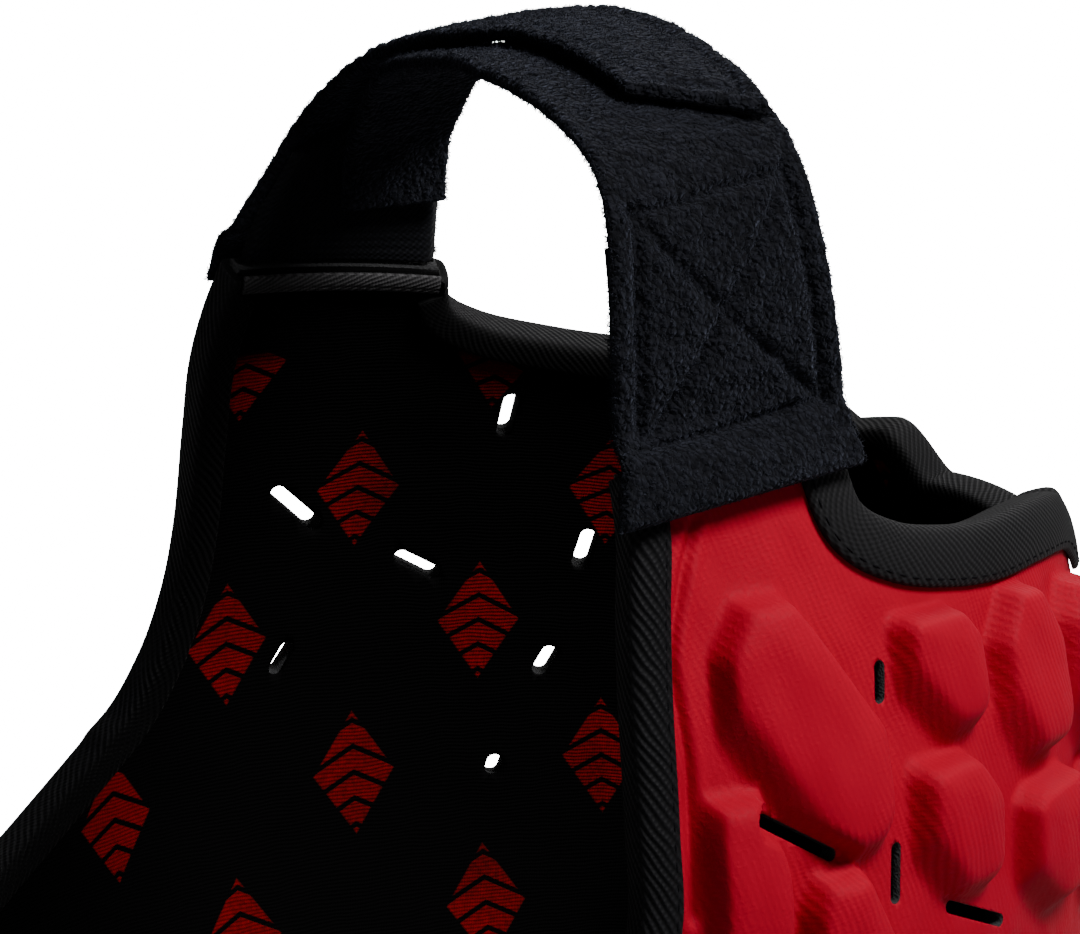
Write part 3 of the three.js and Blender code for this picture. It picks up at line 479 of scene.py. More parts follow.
def new_piece(name, points, faces, cloth, materials, merge=False):
    """Puts points in millimetres and faces into a mesh at the origin, outwards, with its cloth map."""
    if volume(points - points.mean(0), faces) < 0:
        faces = [block[:, ::-1] for block in faces]
    placed = (points - ORIGIN) * MM
    mesh = bpy.data.meshes.new(name)
    mesh.vertices.add(len(placed))
    mesh.vertices.foreach_set("co", placed.astype(np.float32).ravel())
    corners = np.concatenate([block.ravel() for block in faces]).astype(np.int32)
    sizes = np.concatenate([np.full(len(block), block.shape[1]) for block in faces])
    mesh.loops.add(len(corners))
    mesh.loops.foreach_set("vertex_index", corners)
    mesh.polygons.add(len(sizes))
    starts = np.concatenate([[0], np.cumsum(sizes)[:-1]]).astype(np.int32)
    mesh.polygons.foreach_set("loop_start", starts)
    mesh.polygons.foreach_set("use_smooth", np.ones(len(sizes), bool))
    mesh.update(calc_edges=True)
    layer_map = mesh.uv_layers.new(name="cloth")
    layer_map.data.foreach_set("uv", cloth[corners].astype(np.float32).ravel())
    for material in materials:
        mesh.materials.append(material)
    piece = bpy.data.objects.new(name, mesh)
    bpy.context.collection.objects.link(piece)
    if merge:
        work = bmesh.new()
        work.from_mesh(mesh)
        bmesh.ops.remove_doubles(work, verts=work.verts, dist=2e-6)
        bmesh.ops.recalc_face_normals(work, faces=work.faces)
        work.to_mesh(mesh)
        work.free()
    return piece


def ride(piece, slot, *nodes):
    """The piece moves with the guard and stands for the nodes; it does not use the slot."""
    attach(piece, "root")
    if nodes:
        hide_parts(*nodes)
    return piece


def node(tree, kind, inputs=None, **settings):
    """Adds a node, sets its properties, and links or sets the named inputs."""
    made = tree.nodes.new(kind)
    for key, value in settings.items():
        setattr(made, key, value)
    for key, value in (inputs or {}).items():
        if isinstance(value, bpy.types.NodeSocket):
            tree.links.new(value, made.inputs[key])
        else:
            made.inputs[key].default_value = value
    return made


def sums(tree, operation, a, b=0.0, c=0.0):
    """The result of a math node."""
    return node(tree, "ShaderNodeMath", {0: a, 1: b, 2: c}, operation=operation).outputs[0]


def group_named(name, inputs, outputs):
    """An empty shader node group with its sockets, or None if it is there already."""
    if name in bpy.data.node_groups:
        return None
    tree = bpy.data.node_groups.new(name, "ShaderNodeTree")
    for label, kind, value in inputs:
        socket = tree.interface.new_socket(label, in_out="INPUT", socket_type=kind)
        if value is not None:
            socket.default_value = value
    for label, kind in outputs:
        tree.interface.new_socket(label, in_out="OUTPUT", socket_type=kind)
    return tree


def diagonal_ribs():
    """Twill ribs: a wave across a turned coordinate, broken by the threads that cross it."""
    tree = group_named(
        "diagonal_ribs",
        [("Cloth", "NodeSocketVector", None), ("Spacing", "NodeSocketFloat", 1.0),
         ("Turn", "NodeSocketFloat", 0.8)],
        [("Height", "NodeSocketFloat")],
    )
    if tree is None:
        return bpy.data.node_groups["diagonal_ribs"]
    start, end = tree.nodes.new("NodeGroupInput"), tree.nodes.new("NodeGroupOutput")
    wobble = node(tree, "ShaderNodeTexNoise", {"Vector": start.outputs["Cloth"], "Scale": 0.12,
                                               "Detail": 1.0})
    shift = node(tree, "ShaderNodeVectorMath", {0: wobble.outputs["Color"], 1: (1.6, 1.6, 0)},
                 operation="MULTIPLY")
    moved = node(tree, "ShaderNodeVectorMath", {0: start.outputs["Cloth"], 1: shift.outputs[0]},
                 operation="ADD")
    turned = node(tree, "ShaderNodeVectorRotate",
                  {"Vector": moved.outputs[0], "Angle": start.outputs["Turn"]},
                  rotation_type="Z_AXIS")
    parts = node(tree, "ShaderNodeSeparateXYZ", {0: turned.outputs[0]})
    rib = sums(tree, "DIVIDE", parts.outputs[0], start.outputs["Spacing"])
    rib = sums(tree, "MULTIPLY", rib, FULL_TURN)
    rib = sums(tree, "MULTIPLY_ADD", sums(tree, "SINE", rib), 0.5, 0.5)
    thread = sums(tree, "DIVIDE", parts.outputs[1], start.outputs["Spacing"])
    thread = sums(tree, "MULTIPLY_ADD", parts.outputs[0], 2.1, sums(tree, "MULTIPLY", thread, 9.0))
    thread = sums(tree, "MULTIPLY_ADD", sums(tree, "SINE", thread), 0.5, 0.5)
    height = sums(tree, "MULTIPLY_ADD", thread, 0.25, sums(tree, "MULTIPLY", rib, 0.75))
    tree.links.new(height, end.inputs["Height"])
    return tree


def cloth_shade():
    """Slow mottling of a cloth with finer flecks over it, 0 to 1."""
    tree = group_named(
        "cloth_shade",
        [("Place", "NodeSocketVector", None), ("Patch", "NodeSocketFloat", 30.0),
         ("Fleck", "NodeSocketFloat", 900.0)],
        [("Shade", "NodeSocketFloat"), ("Fleck", "NodeSocketFloat")],
    )
    if tree is None:
        return bpy.data.node_groups["cloth_shade"]
    start, end = tree.nodes.new("NodeGroupInput"), tree.nodes.new("NodeGroupOutput")
    slow = node(tree, "ShaderNodeTexNoise", {"Vector": start.outputs["Place"], "Detail": 3.0,
                                             "Scale": start.outputs["Patch"]})
    fine = node(tree, "ShaderNodeTexNoise", {"Vector": start.outputs["Place"], "Detail": 2.0,
                                             "Scale": start.outputs["Fleck"]})
    shade = sums(tree, "MULTIPLY_ADD", fine.outputs[0], 0.35, sums(tree, "MULTIPLY", slow.outputs[0], 0.65))
    tree.links.new(shade, end.inputs["Shade"])
    tree.links.new(fine.outputs[0], end.inputs["Fleck"])
    return tree


def fresh_material(name):
    """A material with only its output and a Principled shader."""
    material = bpy.data.materials.new(name)
    material.use_nodes = True
    return material, material.node_tree, material.node_tree.nodes["Principled BSDF"]


def cloth_nodes(tree, spacing, turn, patch=30.0, fleck=900.0):
    """The rib and shade groups on the cloth map and on object coordinates."""
    cloth = node(tree, "ShaderNodeUVMap", uv_map="cloth").outputs[0]
    place = node(tree, "ShaderNodeTexCoord").outputs["Object"]
    ribs = node(tree, "ShaderNodeGroup", node_tree=diagonal_ribs())
    tree.links.new(cloth, ribs.inputs["Cloth"])
    ribs.inputs["Spacing"].default_value = spacing
    ribs.inputs["Turn"].default_value = turn
    shade = node(tree, "ShaderNodeGroup", node_tree=cloth_shade())
    tree.links.new(place, shade.inputs["Place"])
    shade.inputs["Patch"].default_value = patch
    shade.inputs["Fleck"].default_value = fleck
    return cloth, ribs, shade


def blend(tree, factor, dark, light):
    """A colour mixed by a factor."""
    mixer = node(tree, "ShaderNodeMix", data_type="RGBA")
    tree.links.new(factor, mixer.inputs[0])
    for index, colour in ((6, dark), (7, light)):
        if isinstance(colour, bpy.types.NodeSocket):
            tree.links.new(colour, mixer.inputs[index])
        else:
            mixer.inputs[index].default_value = (*colour, 1)
    return mixer.outputs[2]


def spread(tree, value, low, high, to_low=0.0, to_high=1.0):
    """A value mapped from one range to another and clamped."""
    return node(tree, "ShaderNodeMapRange", {0: value, 1: low, 2: high, 3: to_low, 4: to_high}).outputs[0]


def scaled(colour, share):
    """A colour times a share."""
    return tuple(channel * share for channel in colour)


def rough_and_bump(tree, shader, height, roughness, distance, strength=1.0):
    """Roughness and a bumped normal on the shader."""
    bump = node(tree, "ShaderNodeBump", {"Height": height, "Strength": strength, "Distance": distance})
    tree.links.new(bump.outputs[0], shader.inputs["Normal"])
    if isinstance(roughness, bpy.types.NodeSocket):
        tree.links.new(roughness, shader.inputs["Roughness"])
    else:
        shader.inputs["Roughness"].default_value = roughness


def twill_material(colours):
    """Red twill: ribs lit and shaded, mottled colour, faint sheen."""
    material, tree, shader = fresh_material("red_twill")
    ribs, shade = cloth_nodes(tree, 1.05, -0.36, 40.0, 1500.0)[1:]
    red = tuple(colours.panel_red)
    base = blend(tree, spread(tree, shade.outputs["Shade"], 0.3, 0.7), scaled(red, 0.82), scaled(red, 1.12))
    colour = blend(tree, spread(tree, ribs.outputs["Height"], 0.1, 0.9), scaled(red, 0.90), base)
    tree.links.new(colour, shader.inputs["Base Color"])
    raised = spread(tree, shade.outputs["Shade"], 0.44, 0.58, 0.2, 1.0)
    raised = sums(tree, "MULTIPLY", raised, ribs.outputs["Height"])
    height = sums(tree, "MULTIPLY_ADD", shade.outputs["Fleck"], 0.5, raised)
    rough_and_bump(tree, shader, height, spread(tree, shade.outputs["Fleck"], 0.3, 0.7, 0.62, 0.8), 0.00006)
    shader.inputs["Sheen Weight"].default_value = 0.02
    shader.inputs["Sheen Roughness"].default_value = 0.4
    shader.inputs["Sheen Tint"].default_value = (1.0, 0.1, 0.15, 1)
    shader.inputs["Specular IOR Level"].default_value = 0.08
    return material


def foam_material(colours):
    """Cut foam inside the vents: fine cells, near-black, partly painted shade for the dark inside of the
    narrow slots.
    """
    material, tree, shader = fresh_material("cut_foam")
    place = node(tree, "ShaderNodeTexCoord").outputs["Object"]
    cells = node(tree, "ShaderNodeTexVoronoi", {"Vector": place, "Scale": 2200.0})
    # Near-black cells: partly painted shade standing in for the shade inside the vent slots.
    colour = blend(tree, cells.outputs[0], (0.002, 0.002, 0.0025), (0.009, 0.009, 0.010))
    tree.links.new(colour, shader.inputs["Base Color"])
    rough_and_bump(tree, shader, cells.outputs[0], 0.9, 0.0002)
    return material


def lining_material(colours):
    """Black knit, set near zero so that its colour is partly painted shade for the guard's dark inside,
    with a plain staggered print of barred lozenges, rubbed thin in places.
    """
    material, tree, shader = fresh_material("printed_knit")
    cloth, ribs, shade = cloth_nodes(tree, 0.7, 1.57, 25.0, 1200.0)
    parts = node(tree, "ShaderNodeSeparateXYZ", {0: cloth})
    row = sums(tree, "FLOOR", sums(tree, "DIVIDE", parts.outputs[1], PRINT_ROW))
    odd = sums(tree, "MODULO", sums(tree, "ABSOLUTE", row), 2.0)
    along = sums(tree, "MULTIPLY_ADD", odd, PRINT_SHIFT, parts.outputs[0])
    x = sums(tree, "WRAP", along, PRINT_SHIFT, -PRINT_SHIFT)
    y = sums(tree, "WRAP", parts.outputs[1], PRINT_ROW, 0.0)
    y = sums(tree, "SUBTRACT", y, PRINT_ROW / 2)
    lozenge = sums(tree, "ADD", sums(tree, "DIVIDE", sums(tree, "ABSOLUTE", x), LOZENGE_HALF[0]),
                   sums(tree, "DIVIDE", sums(tree, "ABSOLUTE", y), LOZENGE_HALF[1]))
    inside = spread(tree, lozenge, 1.0, 0.95)
    slant = sums(tree, "MULTIPLY_ADD", sums(tree, "ABSOLUTE", x), 0.55, y)
    bar = sums(tree, "ABSOLUTE", sums(tree, "WRAP", slant, BAR_REACH, -BAR_REACH))
    bars = spread(tree, bar, 0.45, 0.65)
    rubbed = spread(tree, shade.outputs["Shade"], 0.38, 0.6, 0.35, 1.0)
    below_tab = spread(tree, parts.outputs[1], *PRINT_END)
    rubbed = sums(tree, "MULTIPLY", rubbed, below_tab)
    print_mask = sums(tree, "MULTIPLY", sums(tree, "MULTIPLY", inside, bars), rubbed)
    # The ground is black cloth made darker still: partly painted shade for the inside of the guard.
    black = tuple(colours.lining_black_and_shade)
    base = blend(tree, shade.outputs["Shade"], scaled(black, 0.5), scaled(black, 1.5))
    colour = blend(tree, print_mask, base, tuple(colours.motif_red))
    tree.links.new(colour, shader.inputs["Base Color"])
    height = sums(tree, "MULTIPLY_ADD", print_mask, 0.5, ribs.outputs["Height"])
    rough_and_bump(tree, shader, height, 0.9, 0.00012)
    shader.inputs["Specular IOR Level"].default_value = 0.05
    return material


def ribbed_material(name, colour_value, spacing, turn, depth, painted_shade_from=1000.0):
    """Woven binding: strong slanted ribs, lighter on their crests, with painted shade from a given point
    round the profile on, where the binding turns in under the guard.
    """
    material, tree, shader = fresh_material(name)
    cloth, ribs, shade = cloth_nodes(tree, spacing, turn, 60.0, 1800.0)
    colour_value = tuple(colour_value)
    base = blend(tree, spread(tree, shade.outputs["Shade"], 0.3, 0.7), scaled(colour_value, 0.75),
                 scaled(colour_value, 1.2))
    colour = blend(tree, spread(tree, ribs.outputs["Height"], 0.15, 0.85), scaled(colour_value, 0.35), base)
    around = node(tree, "ShaderNodeSeparateXYZ", {0: cloth}).outputs[1]
    # Painted shade: from that point round the profile, the leg that turns in under the guard is darkened to
    # 0.15 of its colour.
    folded = spread(tree, around, painted_shade_from, painted_shade_from + 1.0)
    colour = blend(tree, folded, colour, scaled(colour_value, 0.15))
    tree.links.new(colour, shader.inputs["Base Color"])
    height = sums(tree, "MULTIPLY_ADD", shade.outputs["Fleck"], 0.3, ribs.outputs["Height"])
    rough_and_bump(tree, shader, height, spread(tree, ribs.outputs["Height"], 0, 1, 0.85, 0.6), depth)
    shader.inputs["Sheen Weight"].default_value = 0.01
    shader.inputs["Specular IOR Level"].default_value = 0.1
    return material


def plush_material(name, colour_value):
    """Loop pile: curled cells in three sizes, blue-black with lighter tips."""
    material, tree, shader = fresh_material(name)
    place = node(tree, "ShaderNodeTexCoord").outputs["Object"]
    warp = node(tree, "ShaderNodeTexNoise", {"Vector": place, "Scale": 500.0, "Detail": 2.0})
    bend = node(tree, "ShaderNodeVectorMath", {0: warp.outputs["Color"], 1: (0.0016, 0.0016, 0.0016)},
                operation="MULTIPLY")
    moved = node(tree, "ShaderNodeVectorMath", {0: place, 1: bend.outputs[0]}, operation="ADD").outputs[0]
    loops = node(tree, "ShaderNodeTexVoronoi", {"Vector": moved, "Scale": 1100.0})
    tufts = node(tree, "ShaderNodeTexNoise", {"Vector": place, "Scale": 260.0, "Detail": 5.0})
    patch = node(tree, "ShaderNodeTexNoise", {"Vector": place, "Scale": 45.0, "Detail": 3.0})
    height = sums(tree, "MULTIPLY_ADD", loops.outputs[0], -0.8, tufts.outputs[0])
    colour_value = tuple(colour_value)
    tip = spread(tree, height, -0.1, 0.45)
    tip = sums(tree, "MULTIPLY", tip, spread(tree, patch.outputs[0], 0.3, 0.7, 0.5, 1.0))
    colour = blend(tree, tip, scaled(colour_value, 0.35), scaled(colour_value, 1.5))
    tree.links.new(colour, shader.inputs["Base Color"])
    rough_and_bump(tree, shader, height, 0.95, 0.0008)
    shader.inputs["Sheen Weight"].default_value = 0.06
    shader.inputs["Sheen Roughness"].default_value = 0.5
    shader.inputs["Sheen Tint"].default_value = (0.5, 0.56, 0.8, 1)
    shader.inputs["Specular IOR Level"].default_value = 0.1
    return material


def thread_material(name, colour_value):
    """Twisted sewing thread: fine slanted strands."""
    material, tree, shader = fresh_material(name)
    ribs = cloth_nodes(tree, 0.25, 0.7, 80.0, 2000.0)[1]
    colour_value = tuple(colour_value)
    colour = blend(tree, ribs.outputs["Height"], scaled(colour_value, 0.6), scaled(colour_value, 1.3))
    tree.links.new(colour, shader.inputs["Base Color"])
    rough_and_bump(tree, shader, ribs.outputs["Height"], 0.9, 0.00005)
    shader.inputs["Specular IOR Level"].default_value = 0.05
    return material


def vent_cutter(vents, width):
    """Round-ended slots standing through the layers: a stadium outline carried along each vent's
    normal, all in one mesh."""
    rings = 20
    turn = np.linspace(0, 2 * np.pi, rings, endpoint=False) + np.pi / rings
    points, faces = [], []
    for start_way, end_way in vents:
        middle = unit(start_way + end_way)
        out = form_normal(middle)
        start, end = layer(start_way, FOAM_BASE), layer(end_way, FOAM_BASE)
        along = unit(end - start - out * np.dot(end - start, out))
        aside = np.cross(out, along)
        straight = np.linalg.norm(end - start) / 2 - width / 2
        flat = along * (np.cos(turn) * width / 2 + np.sign(np.cos(turn)) * straight)[:, None]
        flat = flat + aside * (np.sin(turn) * width / 2)[:, None]
        base = layer(middle, FOAM_BASE)
        body = np.stack([base + flat - out * CUTTER_REACH, base + flat + out * CUTTER_REACH])
        made, walls = closed_tube(body)
        shift = sum(len(p) for p in points)
        points.append(made)
        faces.extend(block + shift for block in walls)
    return np.concatenate(points), faces


def side_vents(table, side):
    """The end directions of a table of vents on one side."""
    return [(pattern_way(np.array(v[0]), np.array(v[1]), side),
             pattern_way(np.array(v[2]), np.array(v[3]), side)) for v in table]


def cut_vents(piece, vents, materials, side=0):
    """Cuts the vents through a piece; the cut walls take the second material."""
    points, faces = vent_cutter(vents, VENT_WIDTHS[side])
    tool = new_piece("vent_tool", points, faces, np.zeros((len(points), 2)), materials)
    tool.data.polygons.foreach_set("material_index", np.ones(len(tool.data.polygons), np.int32))
    cut = piece.modifiers.new("vents", "BOOLEAN")
    cut.operation = "DIFFERENCE"
    cut.solver = "EXACT"
    cut.object = tool
    bpy.context.view_layer.objects.active = piece
    with bpy.context.temp_override(object=piece, active_object=piece, selected_objects=[piece]):
        bpy.ops.object.modifier_apply(modifier=cut.name)
    bpy.data.objects.remove(tool)
    return piece


def side_cloth(side, rows, wide):
    """Pattern coordinates and directions over a side panel, rows down from the tab to the seam."""
    down, across = np.meshgrid(np.linspace(0, 1, rows), np.linspace(0, 1, wide), indexing="ij")
    pattern = panel_pattern(across, down, side)
    return pattern, pattern_way(pattern[..., 0], pattern[..., 1], side)


def side_relief(pattern, pads, vents, side, way):
    """Height of a side panel's face: foam top, pads, the sunk fold beside the tape, the sunk seam and
    soft puckers that fade out under the bindings."""
    u, v = pattern[..., 0], pattern[..., 1]
    raised = np.zeros_like(u)
    for pad in pads:
        low = LOW_SHARES[0] if pad[1] > -20 else LOW_SHARES[1]
        near = (np.abs(u - pad[0]) < pad[2] / 2 + 2) & (np.abs(v - pad[1]) < pad[3] / 2 + 2)
        height = pad_height(pad_depth(u[near], v[near], pad, low), True)
        raised[near] = np.maximum(raised[near], height)
    for vent in vents:
        ends = np.array(vent).reshape(2, 2)
        raised *= smooth(line_distance(u, v, ends), *VENT_CLEARING)
    edge = form_point(way)
    face = np.linalg.norm(edge - edge[:, :1], axis=-1)
    neck = np.linalg.norm(edge - edge[:, -1:], axis=-1)
    seam = np.linalg.norm(edge - edge[-1:], axis=-1)
    tab = np.linalg.norm(edge - edge[:1], axis=-1)
    free = smooth(np.minimum(face - TAPE_WIDTH, neck - BAND_WIDTH), 0.5, 5) * smooth(seam, 1, 6)
    puckers = 0.28 * ripple(u, v, 26, 5) + 0.12 * ripple(u, v, 9, 6)
    fold = line_distance(u, v, FOLD_LINE + [1.0 if side > 0 else -1.5, 0])
    ridge = bell(fold, -1.0, 0.8) + bell(fold - 1.8, 0.2, 0.8)
    ridge = ridge * smooth(tab, 1, 4) * smooth(seam, 1, 6)
    sunk = bell(seam, *SEAM_DENT)
    return FOAM_TOP + raised + free * puckers * (tab > 1) + ridge + sunk


def side_panel(name, side, pads, vents, materials):
    """A padded side panel: relief over the pattern outside, plain inside, vents cut through."""
    step = COVER_STEP
    rows, wide = 240, 378
    pattern, way = side_cloth(side, rows + 1, wide + 1)
    height = side_relief(pattern, np.vstack([pads, CROWN_PADS]), [*vents, *CROWN_VENTS], side, way)
    outer = above_floor(layer(way, height))
    inner = layer(way[::step, ::step], np.full(way[::step, ::step].shape[:2], FOAM_BASE))
    points, faces = closed_sheet(outer, inner, step)
    cloth = np.concatenate([pattern.reshape(-1, 2), pattern[::step, ::step].reshape(-1, 2)])
    piece = new_piece(name, points, faces, cloth, materials)
    front, along = face_line(side)[0], unit(NECK_LINE[0] - face_line(side)[0])
    from_tab = np.abs((cloth - front) @ [-along[1], along[0]])
    mark_foam(piece, outer.shape[0] * outer.shape[1], from_tab < 1.6)
    return cut_vents(piece, side_vents([*vents, *CROWN_VENTS], side), materials, side)


def mark_foam(piece, outside, bare):
    """Gives the third material to faces with a corner past the outside points, or all corners bare."""
    mesh = piece.data
    corners = np.zeros(len(mesh.loops), np.int32)
    mesh.loops.foreach_get("vertex_index", corners)
    starts = np.zeros(len(mesh.polygons), np.int32)
    mesh.polygons.foreach_get("loop_start", starts)
    inner = np.maximum.reduceat(corners, starts) >= outside
    ends = np.minimum.reduceat(bare[corners].astype(np.int8), starts) > 0
    mesh.polygons.foreach_set("material_index", np.where(inner | ends, 2, 0).astype(np.int32))


def centre_cloth(rows, wide):
    """Tilt, angle and directions over the centre panel."""
    tilt, share = np.meshgrid(np.linspace(SEAM_TILT, -SEAM_TILT, rows), np.linspace(0, 1, wide),
                              indexing="ij")
    angle = -BROW + share * (nape_angle(tilt) + BROW)
    return tilt, angle, centre_way(tilt, angle)


def nape_vent():
    """The end directions of the vent at the nape."""
    low, angle = np.radians(3.4), np.radians(100.0)
    return [(centre_way(-low, angle), centre_way(low, angle))]


def centre_panel(materials):
    """The padded centre panel, brow to nape."""
    step = COVER_STEP
    tilt, angle, way = centre_cloth(72 + 1, 360 + 1)
    u = tilt * HALF_WIDTH
    v = angle * np.where(angle < 0, FRONT, BACK)
    raised = np.zeros_like(u)
    for degrees, wide, long in CENTRE_PADS:
        reach = FRONT if degrees < 0 else BACK
        pad = np.array([0, 0, wide, long, *[CENTRE_CUT] * 4])
        depth = pad_depth(u, (angle - np.radians(degrees)) * reach, pad)
        raised = np.maximum(raised, np.where(depth > -2, pad_height(depth, degrees != 0), 0))
    edge = form_point(way)
    seam = np.minimum(np.linalg.norm(edge - edge[:1], axis=-1), np.linalg.norm(edge - edge[-1:], axis=-1))
    ends = np.minimum(np.linalg.norm(edge - edge[:, :1], axis=-1) - TAPE_WIDTH,
                      np.linalg.norm(edge - edge[:, -1:], axis=-1) - BAND_WIDTH)
    free = smooth(ends, 0.5, 5) * smooth(seam, 1, 6)
    puckers = 0.2 * ripple(u, v, 22, 8) * (raised < 3)
    height = FOAM_TOP + raised + free * puckers + bell(seam, *SEAM_DENT)
    outer = above_floor(layer(way, height))
    low = way[::step, ::step]
    points, faces = closed_sheet(outer, layer(low, np.full(low.shape[:2], FOAM_BASE)), step)
    map_all = np.stack([u, v], -1)
    cloth = np.concatenate([map_all.reshape(-1, 2), map_all[::step, ::step].reshape(-1, 2)])
    piece = new_piece("centre_panel_cover", points, faces, cloth, materials)
    mark_foam(piece, outer.shape[0] * outer.shape[1], np.zeros(len(points), bool))
    return cut_vents(piece, nape_vent(), materials)


def lining_height(u, v):
    """Inside face of the lining: 0.12 over the form with a low ripple."""
    return 0.12 + 0.12 * ripple(u, v, 24, 11)


def side_lining(name, side, vents, materials):
    """A side lining: a thin closed sheet with the vents cut through."""
    rows, wide = 72, 108
    pattern, way = side_cloth(side, rows + 1, wide + 1)
    inner = layer(way, lining_height(pattern[..., 0], pattern[..., 1]))
    outer = layer(way, np.full(way.shape[:2], LINING_TOP))
    points, faces = closed_sheet(outer, inner, 1)
    cloth = np.concatenate([pattern.reshape(-1, 2)] * 2)
    piece = new_piece(name, points, faces, cloth, materials)
    return cut_vents(piece, side_vents([*vents, *CROWN_VENTS], side), materials, side)


def centre_lining(materials):
    """The centre lining, brow to nape."""
    tilt, angle, way = centre_cloth(24 + 1, 120 + 1)
    u, v = tilt * HALF_WIDTH, angle * BACK - 16 * 27
    inner = layer(way, lining_height(u, v))
    outer = layer(way, np.full(way.shape[:2], LINING_TOP))
    points, faces = closed_sheet(outer, inner, 1)
    cloth = np.concatenate([np.stack([u, v], -1).reshape(-1, 2)] * 2)
    piece = new_piece("centre_lining_cloth", points, faces, cloth, materials)
    return cut_vents(piece, nape_vent(), materials)


def rounded(outline, times):
    """A closed outline with its corners cut a quarter in, several times over."""
    points = np.array(outline, float)
    for _ in range(times):
        after = np.roll(points, -1, axis=0)
        points = np.stack([points * 0.75 + after * 0.25, points * 0.25 + after * 0.75], 1).reshape(-1, 2)
    return points


def edge_stations(at_face, count):
    """Directions on an edge, from the right tab over the centre to the left tab, even along it."""
    down = np.linspace(0, 1, 400)
    across = np.zeros(400) if at_face else np.ones(400)
    right = panel_pattern(across, down, 1)
    left = panel_pattern(across, down, -1)
    tilt = np.linspace(SEAM_TILT, -SEAM_TILT, 120)
    angle = np.full(120, -BROW) if at_face else nape_angle(tilt)
    ways = np.concatenate([
        pattern_way(right[:, 0], right[:, 1], 1)[:-1],
        centre_way(tilt, angle),
        pattern_way(left[:, 0], left[:, 1], -1)[::-1][1:],
    ])
    line = form_point(ways)
    far = run_length(line)
    at = np.linspace(EDGE_MARGIN, far[-1] - EDGE_MARGIN, count)
    return unit(read_at(at, far, ways)), at


def point_way(points):
    """The direction of the form point nearest to points close to the form."""
    y = points[..., 1] / np.where(points[..., 1] < 0, FRONT, BACK)
    rise = points[..., 2] - WIDEST
    z = rise / np.where(rise > 0, JAW, CROWN)
    front, jaw = tapers(y, z)
    return unit(np.stack([points[..., 0] / (HALF_WIDTH * front * jaw), y, z], -1))


def inward_way(ways, at_face, distance):
    """Directions a distance in from an edge, square to it: along the normal crossed with the tangent,
    towards the panels' middle."""
    line = form_point(ways)
    tangent = unit(np.gradient(line, axis=0))
    inward = unit(np.cross(form_normal(ways), tangent))
    if not at_face:
        inward = -inward
    middle = form_point(unit(np.array([0.0, 0.45 if at_face else -0.45, -1.0])))
    turn = np.sign(np.einsum("ij,ij->i", inward, middle - line).mean())
    return point_way(line + inward * turn * distance)


def binding(name, at_face, width, count, material):
    """A folded band: a rounded profile in (distance in from the edge, height) carried along it."""
    ways, at = edge_stations(at_face, count)
    inside = inward_way(ways, at_face, width)
    profile = rounded([
        (width + 0.1, 4.95), (width - 0.1, 5.9), (width - 1.0, 6.25), (width / 2, 6.45), (0.9, 6.25),
        (-0.9, 5.6), (-1.6, 4.2), (-1.6, 0.4), (-1.2, -1.0), (0.2, -1.6), (INNER_LEG - 0.6, -1.55),
        (INNER_LEG + 0.1, -1.1), (INNER_LEG, -0.42), (0.1, -0.40), (-0.42, 0.1), (-0.42, 4.6),
        (0.0, 4.98), (width - 0.6, 4.92),
    ], 2)
    shown = smooth(np.minimum(at - at[0], at[-1] - at), 2.7, 3.4)[:, None]
    inward = profile[None, :, 0]
    tucked = (profile[None, :, 1] < 0.5) & (inward > -0.5)
    inward = np.where(tucked, -0.5 + shown * (inward + 0.5), inward)
    share = (inward / width)[..., None]
    spread_ways = unit(ways[:, None] * (1 - share) + inside[:, None] * share)
    rings = layer(spread_ways, np.broadcast_to(profile[:, 1], spread_ways.shape[:2]))
    steps = np.linalg.norm(np.diff(profile, axis=0, append=profile[:1]), axis=1)
    around = np.concatenate([[0], np.cumsum(steps)[:-1]])
    cloth = np.stack(np.broadcast_arrays(at[:, None], around[None, :]), -1).reshape(-1, 2)
    points, faces = closed_tube(rings)
    cloth = np.concatenate([cloth, cloth[:1], cloth[-1:]])
    return new_piece(name, points, faces, cloth, [material]), (steps.sum() / 2 * MM, (at[-1] - at[0]) * MM)


def stitches(name, line, out, length, gap, radius, material):
    """Short thread bars along a line: each is a six-sided spindle bowed outwards in its middle."""
    far = run_length(line)
    starts = np.arange(0.5, far[-1] - length, length + gap)
    t = np.linspace(0, 1, 7)
    at = starts[:, None] + t[None] * length
    centre = read_at(at, far, line)
    normal = unit(read_at(at, far, out))
    bow = np.sin(np.pi * t)[None, :, None]
    centre = centre + normal * (bow * radius * 1.4 - radius * 0.6)
    tangent = unit(np.gradient(centre, axis=1))
    aside = unit(np.cross(normal, tangent))
    up = np.cross(tangent, aside)
    turn = np.linspace(0, 2 * np.pi, 6, endpoint=False)
    size = radius * (0.35 + 0.65 * np.sin(np.pi * np.clip(t, 0.06, 0.94)) ** 0.5)[None, :, None, None]
    rings = centre[:, :, None] + size * (
        np.cos(turn)[None, None, :, None] * aside[:, :, None]
        + np.sin(turn)[None, None, :, None] * up[:, :, None])
    count = len(closed_tube(rings[0])[0])
    points, faces = [], [[], [], []]
    for k in range(len(starts)):
        body, blocks = closed_tube(rings[k])
        points.append(body)
        for store, block in zip(faces, blocks):
            store.append(block + k * count)
    points = np.concatenate(points)
    faces = [np.concatenate(store) for store in faces]
    cloth = np.stack([points[:, 2], points[:, 0]], -1)
    return new_piece(name, points, faces, cloth, [material])


